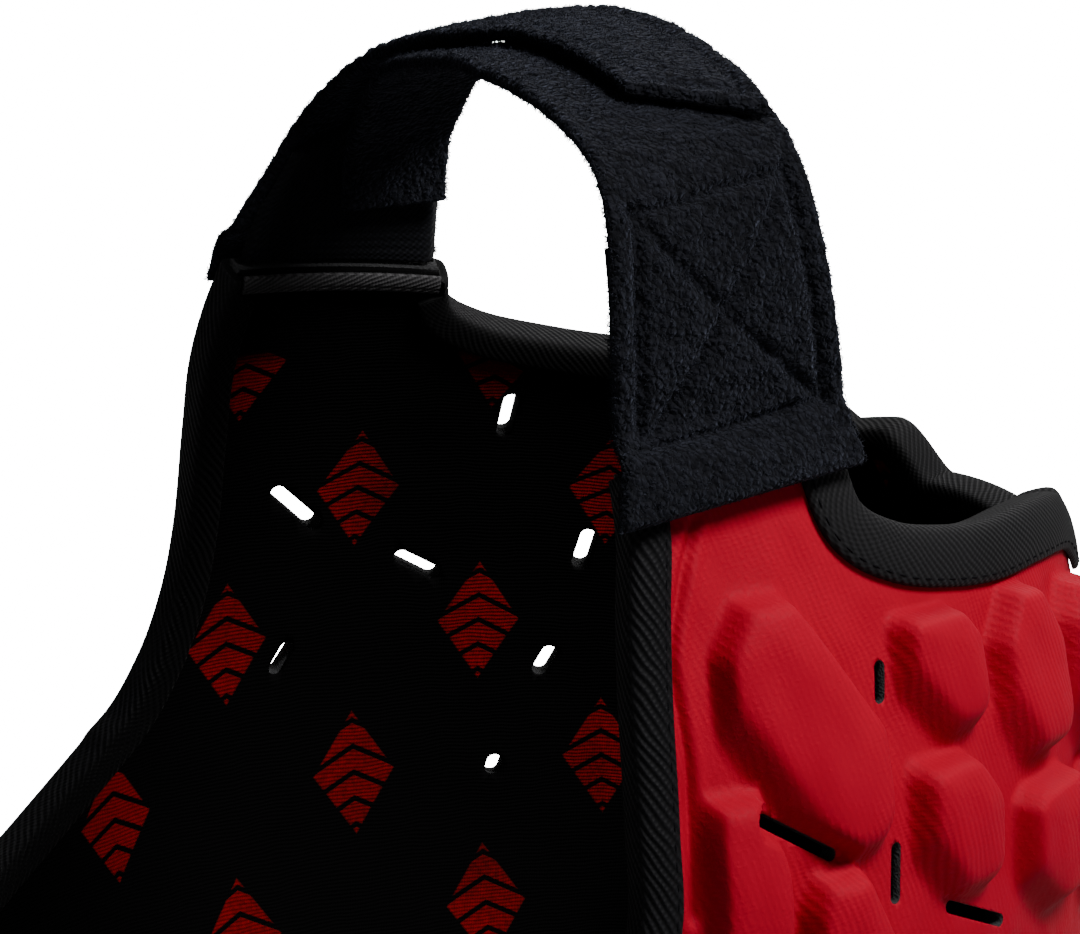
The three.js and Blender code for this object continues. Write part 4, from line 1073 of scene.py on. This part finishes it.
def route_points():
    """The centripetal Catmull-Rom curve through the strap's route, at 2401 even knots: x, lean, z."""
    knots = np.stack([ROUTE[:, 0] * REACH, ROUTE[:, 2] * REACH, TAB_LEVEL + ROUTE[:, 1] * RISE], -1)
    wide = np.vstack([2 * knots[0] - knots[1], knots, 2 * knots[-1] - knots[-2]])
    pieces = []
    f = np.linspace(0, 1, 201)[:, None]
    for k in range(len(knots) - 1):
        p0, p1, p2, p3 = wide[k : k + 4]
        d0, d1, d2 = (np.linalg.norm(b - a) ** 0.5 for a, b in ((p0, p1), (p1, p2), (p2, p3)))
        t1 = ((p1 - p0) / d0 - (p2 - p0) / (d0 + d1) + (p2 - p1) / d1) * d1
        t2 = ((p2 - p1) / d1 - (p3 - p1) / (d1 + d2) + (p3 - p2) / d2) * d1
        curve = p1 + f * t1 + f**2 * (3 * (p2 - p1) - 2 * t1 - t2) + f**3 * (2 * (p1 - p2) + t1 + t2)
        pieces.append(curve[: 200 + (k == len(knots) - 2)])
    return np.concatenate(pieces)


ROUTE_LINE = route_points()
ROUTE_FAR = run_length(ROUTE_LINE)


def route_surface(share, edge, lean_share, offset):
    """A point of the strap's route: the curve at a share of its length, the edge across the strap's
    width, the lean towards its rear edge and the offset along the route's outward normal."""
    at = share * ROUTE_FAR[-1]
    x, lean, z = (np.interp(at, ROUTE_FAR, ROUTE_LINE[:, k]) for k in range(3))
    step = 0.4
    ahead = [np.interp(at + step, ROUTE_FAR, ROUTE_LINE[:, k]) for k in (0, 2)]
    behind = [np.interp(at - step, ROUTE_FAR, ROUTE_LINE[:, k]) for k in (0, 2)]
    tx, tz = ahead[0] - behind[0], ahead[1] - behind[1]
    size = np.hypot(tx, tz)
    nx, nz = tz / size, -tx / size
    step_in = np.sign(x) * lean * lean_share
    return np.stack([x + nx * offset - step_in, STRAP_MIDDLE + edge * STRAP_WIDTH + 0 * x,
                     z + nz * offset], -1)


def along_rings(rings, count):
    """Rings of points joined by a curve through their stations: cubic pieces with chord-length knots,
    read along the middle line, a little closer together at both ends."""
    middle = rings.reshape(len(rings), -1, 3).mean(1)
    knots = run_length(middle)
    slope = np.gradient(rings, knots, axis=0)
    end = knots[-1]
    at = end * (0.5 - 0.5 * np.cos(np.pi * np.linspace(0, 1, count)))
    at = 0.25 * at + 0.75 * np.linspace(0, end, count)
    k = np.clip(np.searchsorted(knots, at, side="right") - 1, 0, len(knots) - 2)
    wide = knots[k + 1] - knots[k]
    shape = (-1,) + (1,) * (rings.ndim - 1)
    f = ((at - knots[k]) / wide).reshape(shape)
    wide = wide.reshape(shape)
    a, b = rings[k], rings[k + 1]
    sa, sb = slope[k] * wide, slope[k + 1] * wide
    return a + f * sa + f**2 * (3 * (b - a) - 2 * sa - sb) + f**3 * (2 * (a - b) + sa + sb)


def sewn_faces(side, across, step, front_up, rear_up, low, high):
    """Both faces of a strap where it lies on the tab, between two points of the pattern."""
    front = face_line(side)[0] + [-step, front_up]
    rear = NECK_LINE[0] + [min(step, 1.2), rear_up]
    spot = front + (rear - front) * across[:, None]
    way = pattern_way(spot[:, 0], spot[:, 1], side)
    return np.stack([layer(way, np.full(len(way), low)), layer(way, np.full(len(way), high))])


def strap_stations(side, across):
    """Low and high faces of a strap at the solid's own stations, for shares across its width."""
    low, high = SEWN_LOW, SEWN_LOW + STRAP_THICK
    out = (5.2, 3.4, -9.0) if side > 0 else (1.2, 0.6, -7.5)
    rings = [sewn_faces(side, across, out[0], out[2], -1.8, low, high),
             sewn_faces(side, across, out[1], 0.0, 0.45, low, high)]
    table = RIGHT_EDGES if side > 0 else LEFT_EDGES
    for way in np.linspace(0, 1, 23):
        front, rear, lift = (np.interp(way, table[:, 0], table[:, k]) for k in (1, 2, 3))
        edge = front + (rear - front) * across
        if side > 0:
            share = np.full(len(across), 0.975 * way)
            tuck = smooth(share, 0.74, 0.86) * (WEBBING_THICK + 1.5 * STRAP_GAP)
            top = -STRAP_GAP / 2 - tuck
            base = top - STRAP_THICK
        else:
            share = 1 - (0.705 + 0.06 * across) * way
            base = STRAP_GAP / 2 + CHIN_LIFT * lift * across
            top = base + STRAP_THICK
        rings.append(np.stack([route_surface(share, edge, across, base),
                               route_surface(share, edge, across, top)]))
    return np.array(rings)


def round_end(distance, radius):
    """A quarter circle from 0 at an edge to 1 a radius in."""
    t = np.clip(distance / radius, 0, 1)
    return np.sqrt(np.maximum(0, 1 - (1 - t) ** 2))


def strap_shape(stations, count, radius, relief):
    """A soft slab through stations of two faces: half its thickness times the rounding at all four
    edges, either side of the middle sheet, plus the relief along the middle sheet's normal."""
    fine = along_rings(stations, count)
    middle = fine.mean(1)
    half = (fine[:, 1] - fine[:, 0]) / 2
    spans = np.linalg.norm(np.diff(middle, axis=1), axis=-1)
    across = np.concatenate([np.zeros((count, 1)), np.cumsum(spans, axis=1)], axis=1)
    steps = np.linalg.norm(np.diff(middle, axis=0), axis=-1)
    along = np.concatenate([np.zeros((1, middle.shape[1])), np.cumsum(steps, axis=0)])
    edge = np.minimum(across, across[:, -1:] - across)
    end = np.minimum(along, along[-1:] - along)
    fullness = (round_end(edge, radius) * round_end(end, radius))[..., None]
    lift = relief(along, across, along[-1:] - along, across[:, -1:] - across)
    out = unit(half)
    top = middle + half * fullness + out * (lift[0][..., None] * np.minimum(fullness * 4, 1))
    low = middle - half * fullness - out * (lift[1][..., None] * np.minimum(fullness * 4, 1))
    section = np.concatenate([top, low[:, ::-1][:, 1:-1]], axis=1)
    flat = np.stack([along, across], -1)
    cloth = np.concatenate([flat, flat[:, ::-1][:, 1:-1]], axis=1)
    return section, cloth, top, low, out


def strap_piece(name, shape, material):
    """The closed mesh of a strap."""
    section, cloth = shape[:2]
    points, faces = closed_tube(section)
    flat = cloth.reshape(-1, 2)
    flat = np.concatenate([flat, flat[:1], flat[-1:]])
    return new_piece(name, points, faces, flat, [material], merge=True)


def right_relief(along, across, to_end, to_rear):
    """Tufted plush, a cross and a box sewn in above the tab, and a sunk hem line."""
    tufts = 0.16 * ripple(along, across, 5, 21) + 0.10 * ripple(along, across, 2.2, 22)
    wide = across + to_rear
    box_low, box_high = 11.0, 44.0
    x = across - wide / 2
    y = along - (box_low + box_high) / 2
    half_x, half_y = wide / 2 - 4.0, (box_high - box_low) / 2
    inside = (np.abs(x) < half_x + 1) & (np.abs(y) < half_y + 1)
    size = np.hypot(half_x, half_y)
    cross = np.minimum(np.abs(x * half_y - y * half_x), np.abs(x * half_y + y * half_x)) / size
    frame_line = np.minimum(np.abs(np.abs(x) - half_x), np.abs(np.abs(y) - half_y))
    seam = np.where(inside, np.minimum(cross, frame_line), 9)
    groove = bell(seam, -1.15, 0.75)
    hem = bell(across - 3.0, -0.25, 0.8) + bell(to_rear - 3.0, -0.25, 0.8)
    fade = smooth(to_end, 0, 60)
    return tufts + groove + hem * fade, 0.5 * tufts


def left_relief(along, across, to_end, to_rear):
    """Tufted plush with a hem line round the free end."""
    tufts = 0.16 * ripple(along, across, 5, 31) + 0.10 * ripple(along, across, 2.2, 32)
    rim = np.minimum(np.minimum(across, to_rear), to_end)
    hem = bell(rim - 3.2, -0.55, 0.9)
    return tufts + hem, 0.4 * tufts


def pile(name, shape, density, length, seed, material):
    """Loop pile: three-sided spikes standing on both faces and thicker along the edges, leaning by
    seeded directions. Each is a base of three points and a tip."""
    _, _, top, low, out = shape
    dice = np.random.RandomState(seed)
    roots, ways, sizes = [], [], []
    for face, sign, share in ((top, 1, 1.0), (low, -1, 0.55)):
        a, b = face[:-1, :-1], face[1:, 1:]
        area = np.linalg.norm(np.cross(face[1:, :-1] - a, face[:-1, 1:] - a), axis=-1)
        chance = area.ravel() / area.sum()
        count = int(area.sum() * density * share)
        pick = dice.choice(area.size, count, p=chance)
        j, i = np.unravel_index(pick, area.shape)
        s, t = dice.rand(count, 1), dice.rand(count, 1)
        spot = (a[j, i] * (1 - s) * (1 - t) + face[j + 1, i] * s * (1 - t)
                + face[j, i + 1] * (1 - s) * t + b[j, i] * s * t)
        lean = dice.normal(size=(count, 3)) * 1.0
        roots.append(spot)
        ways.append(unit(out[j, i] * sign + lean))
        sizes.append(length * dice.uniform(0.5, 1.15, count))
    for edge in (0, -1):
        line = (top[:, edge] + low[:, edge]) / 2
        count = int(np.linalg.norm(np.diff(line, axis=0), axis=1).sum() * 14)
        at = dice.uniform(0, len(line) - 1.001, count)
        k = at.astype(int)
        f = (at - k)[:, None]
        spot = line[k] * (1 - f) + line[k + 1] * f
        aside = unit(top[k, edge] - top[k, 3 if edge == 0 else -4])
        lean = dice.normal(size=(count, 3)) * 0.6
        roots.append(spot + out[k, edge] * dice.uniform(-0.8, 0.8, (count, 1)))
        ways.append(unit(aside + lean))
        sizes.append(length * dice.uniform(0.5, 1.3, count))
    root, way, size = np.concatenate(roots), np.concatenate(ways), np.concatenate(sizes)[:, None]
    first = unit(np.cross(way, dice.normal(size=way.shape)))
    second = np.cross(way, first)
    thick = 0.10
    base = root - way * 0.15
    corners = [base + thick * (np.cos(t) * first + np.sin(t) * second) for t in (0, 2.094, 4.189)]
    curl = first * size * dice.uniform(-0.3, 0.3, (len(root), 1))
    points = np.stack([*corners, root + way * size + curl], 1).reshape(-1, 3)
    k = np.arange(len(root))[:, None] * 4
    block = np.concatenate([k + [0, 1, 3], k + [1, 2, 3], k + [2, 0, 3], k + [2, 1, 0]])
    cloth = points[:, [0, 2]]
    return new_piece(name, points, [block], cloth, [material])


def webbing_relief(along, across, to_end, to_rear):
    """Low ridges across the webbing on both faces."""
    ridges = 0.06 * np.sin(along * 4.2)
    return ridges, ridges


def webbing_shape(side, table, base):
    """Webbing from the tab's end along the route, by its rows."""
    across = np.linspace(0, 1, 24)
    front = face_line(side)[0] + [0.6, 0.5]
    rear = NECK_LINE[0] + [-0.6, 0.5]
    spot = front + (rear - front) * across[:, None]
    way = pattern_way(spot[:, 0], spot[:, 1], side)
    rings = [np.stack([layer(way, np.full(24, level)) for level in (FOAM_BASE, FOAM_BASE + WEBBING_THICK)])]
    for at_front, at_rear, low_edge, high_edge in table:
        share = at_front + (at_rear - at_front) * across
        edge = low_edge + (high_edge - low_edge) * across
        rings.append(np.stack([route_surface(share, edge, across, base + 0 * share),
                               route_surface(share, edge, across, base + WEBBING_THICK + 0 * share)]))
    return strap_shape(np.array(rings), 80, 0.9, webbing_relief)


def hem_piece(name, side, material):
    """The strip that hems the lining across a tab: a low rounded ridge with sunk stitching."""
    down, across = np.meshgrid(np.linspace(0, 1, 25), np.linspace(0, 1, 61), indexing="ij")
    front, back = face_line(side)[0], NECK_LINE[0]
    spot = front + (back - front) * across[..., None]
    spot = spot + np.stack([0 * down, -down * 3.4], -1)
    way = pattern_way(spot[..., 0], spot[..., 1], side)
    ridge = 0.45 + 0.55 * np.sin(np.pi * np.clip(down, 0.04, 0.96)) ** 0.4
    ridge = ridge - bell(down - 0.75, 0.18, 0.08) * (0.6 + 0.4 * np.sin(across * 90))
    inner = layer(way, HEM_TOP - ridge)
    outer = layer(way, np.full(way.shape[:2], HEM_TOP))
    points, faces = closed_sheet(outer, inner, 1)
    cloth = np.concatenate([spot.reshape(-1, 2)] * 2)
    return new_piece(name, points, faces, cloth, [material])


def length_property(name, description, default):
    """A length that a user would change, in metres."""
    return bpy.props.FloatProperty(name=name, description=description, default=default,
                                   subtype="DISTANCE", unit="LENGTH")


def colour_property(name, description, default):
    """A colour that a user would change."""
    return bpy.props.FloatVectorProperty(name=name, description=description, default=default,
                                         subtype="COLOR", size=3)


class HeadguardSizes(bpy.types.PropertyGroup):
    """Sizes of the finish that a user would change."""

    pile_length: length_property("Pile length", "Mean length of the straps' loop pile", 0.0007)
    pile_density: bpy.props.FloatProperty(
        name="Pile density", description="Loops on each square millimetre of strap", default=3.2)
    stitch_length: length_property("Stitch length", "Length of one visible stitch", 0.0021)


class HeadguardColours(bpy.types.PropertyGroup):
    """Colours that a user would change."""

    panel_red: colour_property("Panel red", "Twill of the padded panels", (0.29, 0.0002, 0.0125))
    # Black cloth set darker still: partly painted shade for the inside of the guard.
    lining_black_and_shade: colour_property("Lining black", "Ground of the lining", (0.0006, 0.0005, 0.0006))
    motif_red: colour_property("Print red", "Print on the lining", (0.16, 0.002, 0.003))
    tape_black: colour_property("Tape black", "Woven tape round the face", (0.0042, 0.0040, 0.0050))
    band_charcoal: colour_property("Band charcoal", "Woven band round the neck", (0.0080, 0.0077, 0.0085))
    plush_black: colour_property("Plush black", "Loop pile of the chin straps", (0.0045, 0.0048, 0.0070))
    hem_grey: colour_property("Hem grey", "Strip across the end of the linings", (0.050, 0.048, 0.050))


def finish_of(context, name, maker):
    """A material made once and shared by the pieces that use it."""
    return bpy.data.materials.get(name) or maker(context.scene.headguard_colours)


class HEADGUARD_OT_panels(bpy.types.Operator):
    """Makes the three padded panels"""

    bl_idname = "headguard.panels"
    bl_label = "Padded panels"

    def execute(self, context):
        twill = finish_of(context, "red_twill", twill_material)
        foam = finish_of(context, "cut_foam", foam_material)
        for name, side, pads, vents in (("right_side_panel", 1, RIGHT_PADS, RIGHT_VENTS),
                                        ("left_side_panel", -1, LEFT_PADS, LEFT_VENTS)):
            piece = side_panel(name + "_cover", side, pads, vents, [twill, foam, foam])
            ride(piece, "panel_twill", name)
        piece = centre_panel([twill, foam, foam])
        ride(piece, "panel_twill", "centre_panel")
        return {"FINISHED"}


class HEADGUARD_OT_linings(bpy.types.Operator):
    """Makes the three linings and the hems across their tabs"""

    bl_idname = "headguard.linings"
    bl_label = "Linings and hems"

    def execute(self, context):
        knit = finish_of(context, "printed_knit", lining_material)
        colours = context.scene.headguard_colours
        hem = ribbed_material("hem_weave", colours.hem_grey, 0.8, 1.2, 0.00015)
        for name, side, vents in (("right_lining", 1, RIGHT_VENTS), ("left_lining", -1, LEFT_VENTS)):
            piece = side_lining(name + "_cloth", side, vents, [knit, knit])
            ride(piece, "lining_cloth", name)
            strip = hem_piece(name + "_hem_strip", side, hem)
            ride(strip, "hem_cloth", name + "_hem")
        piece = centre_lining([knit, knit])
        ride(piece, "lining_cloth", "centre_lining")
        return {"FINISHED"}


class HEADGUARD_OT_bindings(bpy.types.Operator):
    """Makes the face tape and the neck band with their stitching"""

    bl_idname = "headguard.bindings"
    bl_label = "Bindings"

    def execute(self, context):
        colours = context.scene.headguard_colours
        sizes = context.scene.headguard_sizes
        # The last number says where round each binding's profile its painted shade on the inner leg begins.
        tape = ribbed_material("tape_weave", colours.tape_black, 1.1, -0.96, 0.00028, 11.5)
        band = ribbed_material("band_weave", colours.band_charcoal, 0.9, -0.8, 0.00016, 14.8)
        thread = thread_material("binding_thread", scaled(colours.tape_black, 0.7))
        length = sizes.stitch_length / MM
        for name, node_name, at_face, width, count, weave in (
            ("face_tape", "face_edge_tape", True, TAPE_WIDTH, 520, tape),
            ("neck_band", "neck_edge_band", False, BAND_WIDTH, 520, band),
        ):
            piece, flat = binding(name + "_cloth", at_face, width, count, weave)
            ride(piece, "ribbed_tape", node_name)
            ways = edge_stations(at_face, STITCH_STATIONS)[0]
            inside = inward_way(ways, at_face, width - 1.1)
            line = layer(inside, np.full(STITCH_STATIONS, STITCH_LEVEL))
            row = stitches(name + "_stitches", line, form_normal(inside), length, 0.7, 0.17, thread)
            ride(row, "ribbed_tape")
        return {"FINISHED"}


class HEADGUARD_OT_webbing(bpy.types.Operator):
    """Makes the webbing that the straps are sewn to"""

    bl_idname = "headguard.webbing"
    bl_label = "Webbing tabs"

    def execute(self, context):
        colours = context.scene.headguard_colours
        weave = ribbed_material("webbing_weave", scaled(colours.plush_black, 0.8), 0.9, 0.9, 0.00015)
        under_right = -STRAP_GAP * 1.5 - STRAP_THICK - WEBBING_THICK
        under_left = -STRAP_GAP / 2 - WEBBING_THICK
        for name, side, table, base in (("right_webbing", 1, RIGHT_WEBBING, under_right),
                                        ("left_webbing", -1, LEFT_WEBBING, under_left)):
            piece = strap_piece(name + "_cloth", webbing_shape(side, table, base), weave)
            ride(piece, "strap_webbing", name + "_tab")
        return {"FINISHED"}


class HEADGUARD_OT_straps(bpy.types.Operator):
    """Makes the two plush chin straps and their loop pile"""

    bl_idname = "headguard.straps"
    bl_label = "Chin straps"

    def execute(self, context):
        colours = context.scene.headguard_colours
        sizes = context.scene.headguard_sizes
        plush = plush_material("loop_plush", colours.plush_black)
        across = 0.5 - 0.5 * np.cos(np.pi * np.linspace(0, 1, 56))
        for name, side, relief, seed in (("right_chin_strap", 1, right_relief, 41),
                                         ("left_chin_strap", -1, left_relief, 42)):
            shape = strap_shape(strap_stations(side, across), 300, 1.1, relief)
            piece = strap_piece(name + "_plush", shape, plush)
            ride(piece, "strap_plush", name)
            loops = pile(name + "_pile", shape, sizes.pile_density, sizes.pile_length / MM, seed, plush)
            ride(loops, "strap_plush")
        return {"FINISHED"}


class HEADGUARD_OT_stage(bpy.types.Operator):
    """Makes the floor, the lights, the surroundings and the camera"""

    bl_idname = "headguard.stage"
    bl_label = "Stage"

    def execute(self, context):
        ground = np.array([[-3, -3, 0], [3, -3, 0], [3, 3, 0], [-3, 3, 0]], float) / MM + ORIGIN
        material, tree, shader = fresh_material("stage_floor")
        place = node(tree, "ShaderNodeTexCoord").outputs["Object"]
        mottle = node(tree, "ShaderNodeTexNoise", {"Vector": place, "Scale": 3.0, "Detail": 2.0})
        colour = blend(tree, mottle.outputs[0], (0.28, 0.28, 0.28), (0.32, 0.32, 0.32))
        tree.links.new(colour, shader.inputs["Base Color"])
        shader.inputs["Roughness"].default_value = 0.9
        glow = node(tree, "ShaderNodeEmission", {"Color": (1, 1, 1, 1), "Strength": 26.0})
        seen = node(tree, "ShaderNodeLightPath").outputs["Is Camera Ray"]
        share = sums(tree, "MULTIPLY", seen, 0.8)
        both = node(tree, "ShaderNodeMixShader", {0: share, 1: shader.outputs[0], 2: glow.outputs[0]})
        tree.links.new(both.outputs[0], tree.nodes["Material Output"].inputs["Surface"])
        floor = new_piece("stage_floor", ground, [np.array([[0, 1, 2, 3]])], ground[:, :2] * MM, [material])
        world = bpy.data.worlds.new("studio")
        world.use_nodes = True
        tree = world.node_tree
        soft = node(tree, "ShaderNodeBackground", {"Color": (1, 1, 1, 1), "Strength": 0.07})
        bright = node(tree, "ShaderNodeBackground", {"Color": (1, 1, 1, 1), "Strength": 21.0})
        seen = node(tree, "ShaderNodeLightPath").outputs["Is Camera Ray"]
        both = node(tree, "ShaderNodeMixShader", {0: seen, 1: soft.outputs[0], 2: bright.outputs[0]})
        tree.links.new(both.outputs[0], tree.nodes["World Output"].inputs["Surface"])
        context.scene.world = world
        middle = np.array([0, 0, 0.13])
        for name, spot, size, power in (
            ("key_light", (0.62, 0.34, 1.05), 0.34, 24.0),
            ("fill_light", (0.9, -0.9, 0.6), 0.9, 0.8),
            ("back_light", (-0.6, 0.9, 0.9), 0.8, 9.0),
        ):
            lamp = bpy.data.lights.new(name, "AREA")
            lamp.energy = power
            lamp.size = size
            holder = bpy.data.objects.new(name, lamp)
            holder.location = spot
            towards = Vector(middle - np.array(spot))
            holder.rotation_euler = towards.to_track_quat("-Z", "Y").to_euler()
            context.collection.objects.link(holder)
        camera = bpy.data.cameras.new("camera")
        camera.sensor_width = 36.0
        camera.lens = 145.63
        camera.clip_end = 20
        holder = bpy.data.objects.new("camera", camera)
        holder.location = (0.56739, -0.28809, 0.3700)
        towards = Vector((0.00764, 0.00931, 0.17207)) - holder.location
        holder.rotation_euler = towards.to_track_quat("-Z", "Y").to_euler()
        context.collection.objects.link(holder)
        context.scene.camera = holder
        return {"FINISHED"}


OPERATORS = (
    HEADGUARD_OT_stage, HEADGUARD_OT_panels, HEADGUARD_OT_linings, HEADGUARD_OT_bindings,
    HEADGUARD_OT_webbing, HEADGUARD_OT_straps,
)


class HEADGUARD_PT_parts(bpy.types.Panel):
    """Lists the sizes, the colours and the pieces"""

    bl_label = "Headguard"
    bl_idname = "HEADGUARD_PT_parts"
    bl_space_type = "VIEW_3D"
    bl_region_type = "UI"
    bl_category = "Headguard"

    def draw(self, context):
        layout = self.layout
        for group in (context.scene.headguard_sizes, context.scene.headguard_colours):
            for name in group.__annotations__:
                layout.prop(group, name)
        for operator in OPERATORS:
            layout.operator(operator.bl_idname)


CLASSES = (HeadguardSizes, HeadguardColours, *OPERATORS, HEADGUARD_PT_parts)


def register():
    """Registers the classes and the two groups of properties on the scene."""
    for item in CLASSES:
        bpy.utils.register_class(item)
    bpy.types.Scene.headguard_sizes = bpy.props.PointerProperty(type=HeadguardSizes)
    bpy.types.Scene.headguard_colours = bpy.props.PointerProperty(type=HeadguardColours)


def unregister():
    """Removes the groups of properties and the classes."""
    del bpy.types.Scene.headguard_sizes
    del bpy.types.Scene.headguard_colours
    for item in reversed(CLASSES):
        bpy.utils.unregister_class(item)


def main():
    """Makes every piece."""
    register()
    bpy.ops.headguard.stage()
    bpy.ops.headguard.panels()
    bpy.ops.headguard.linings()
    bpy.ops.headguard.bindings()
    bpy.ops.headguard.webbing()
    bpy.ops.headguard.straps()


if __name__ == "__main__":
    main()
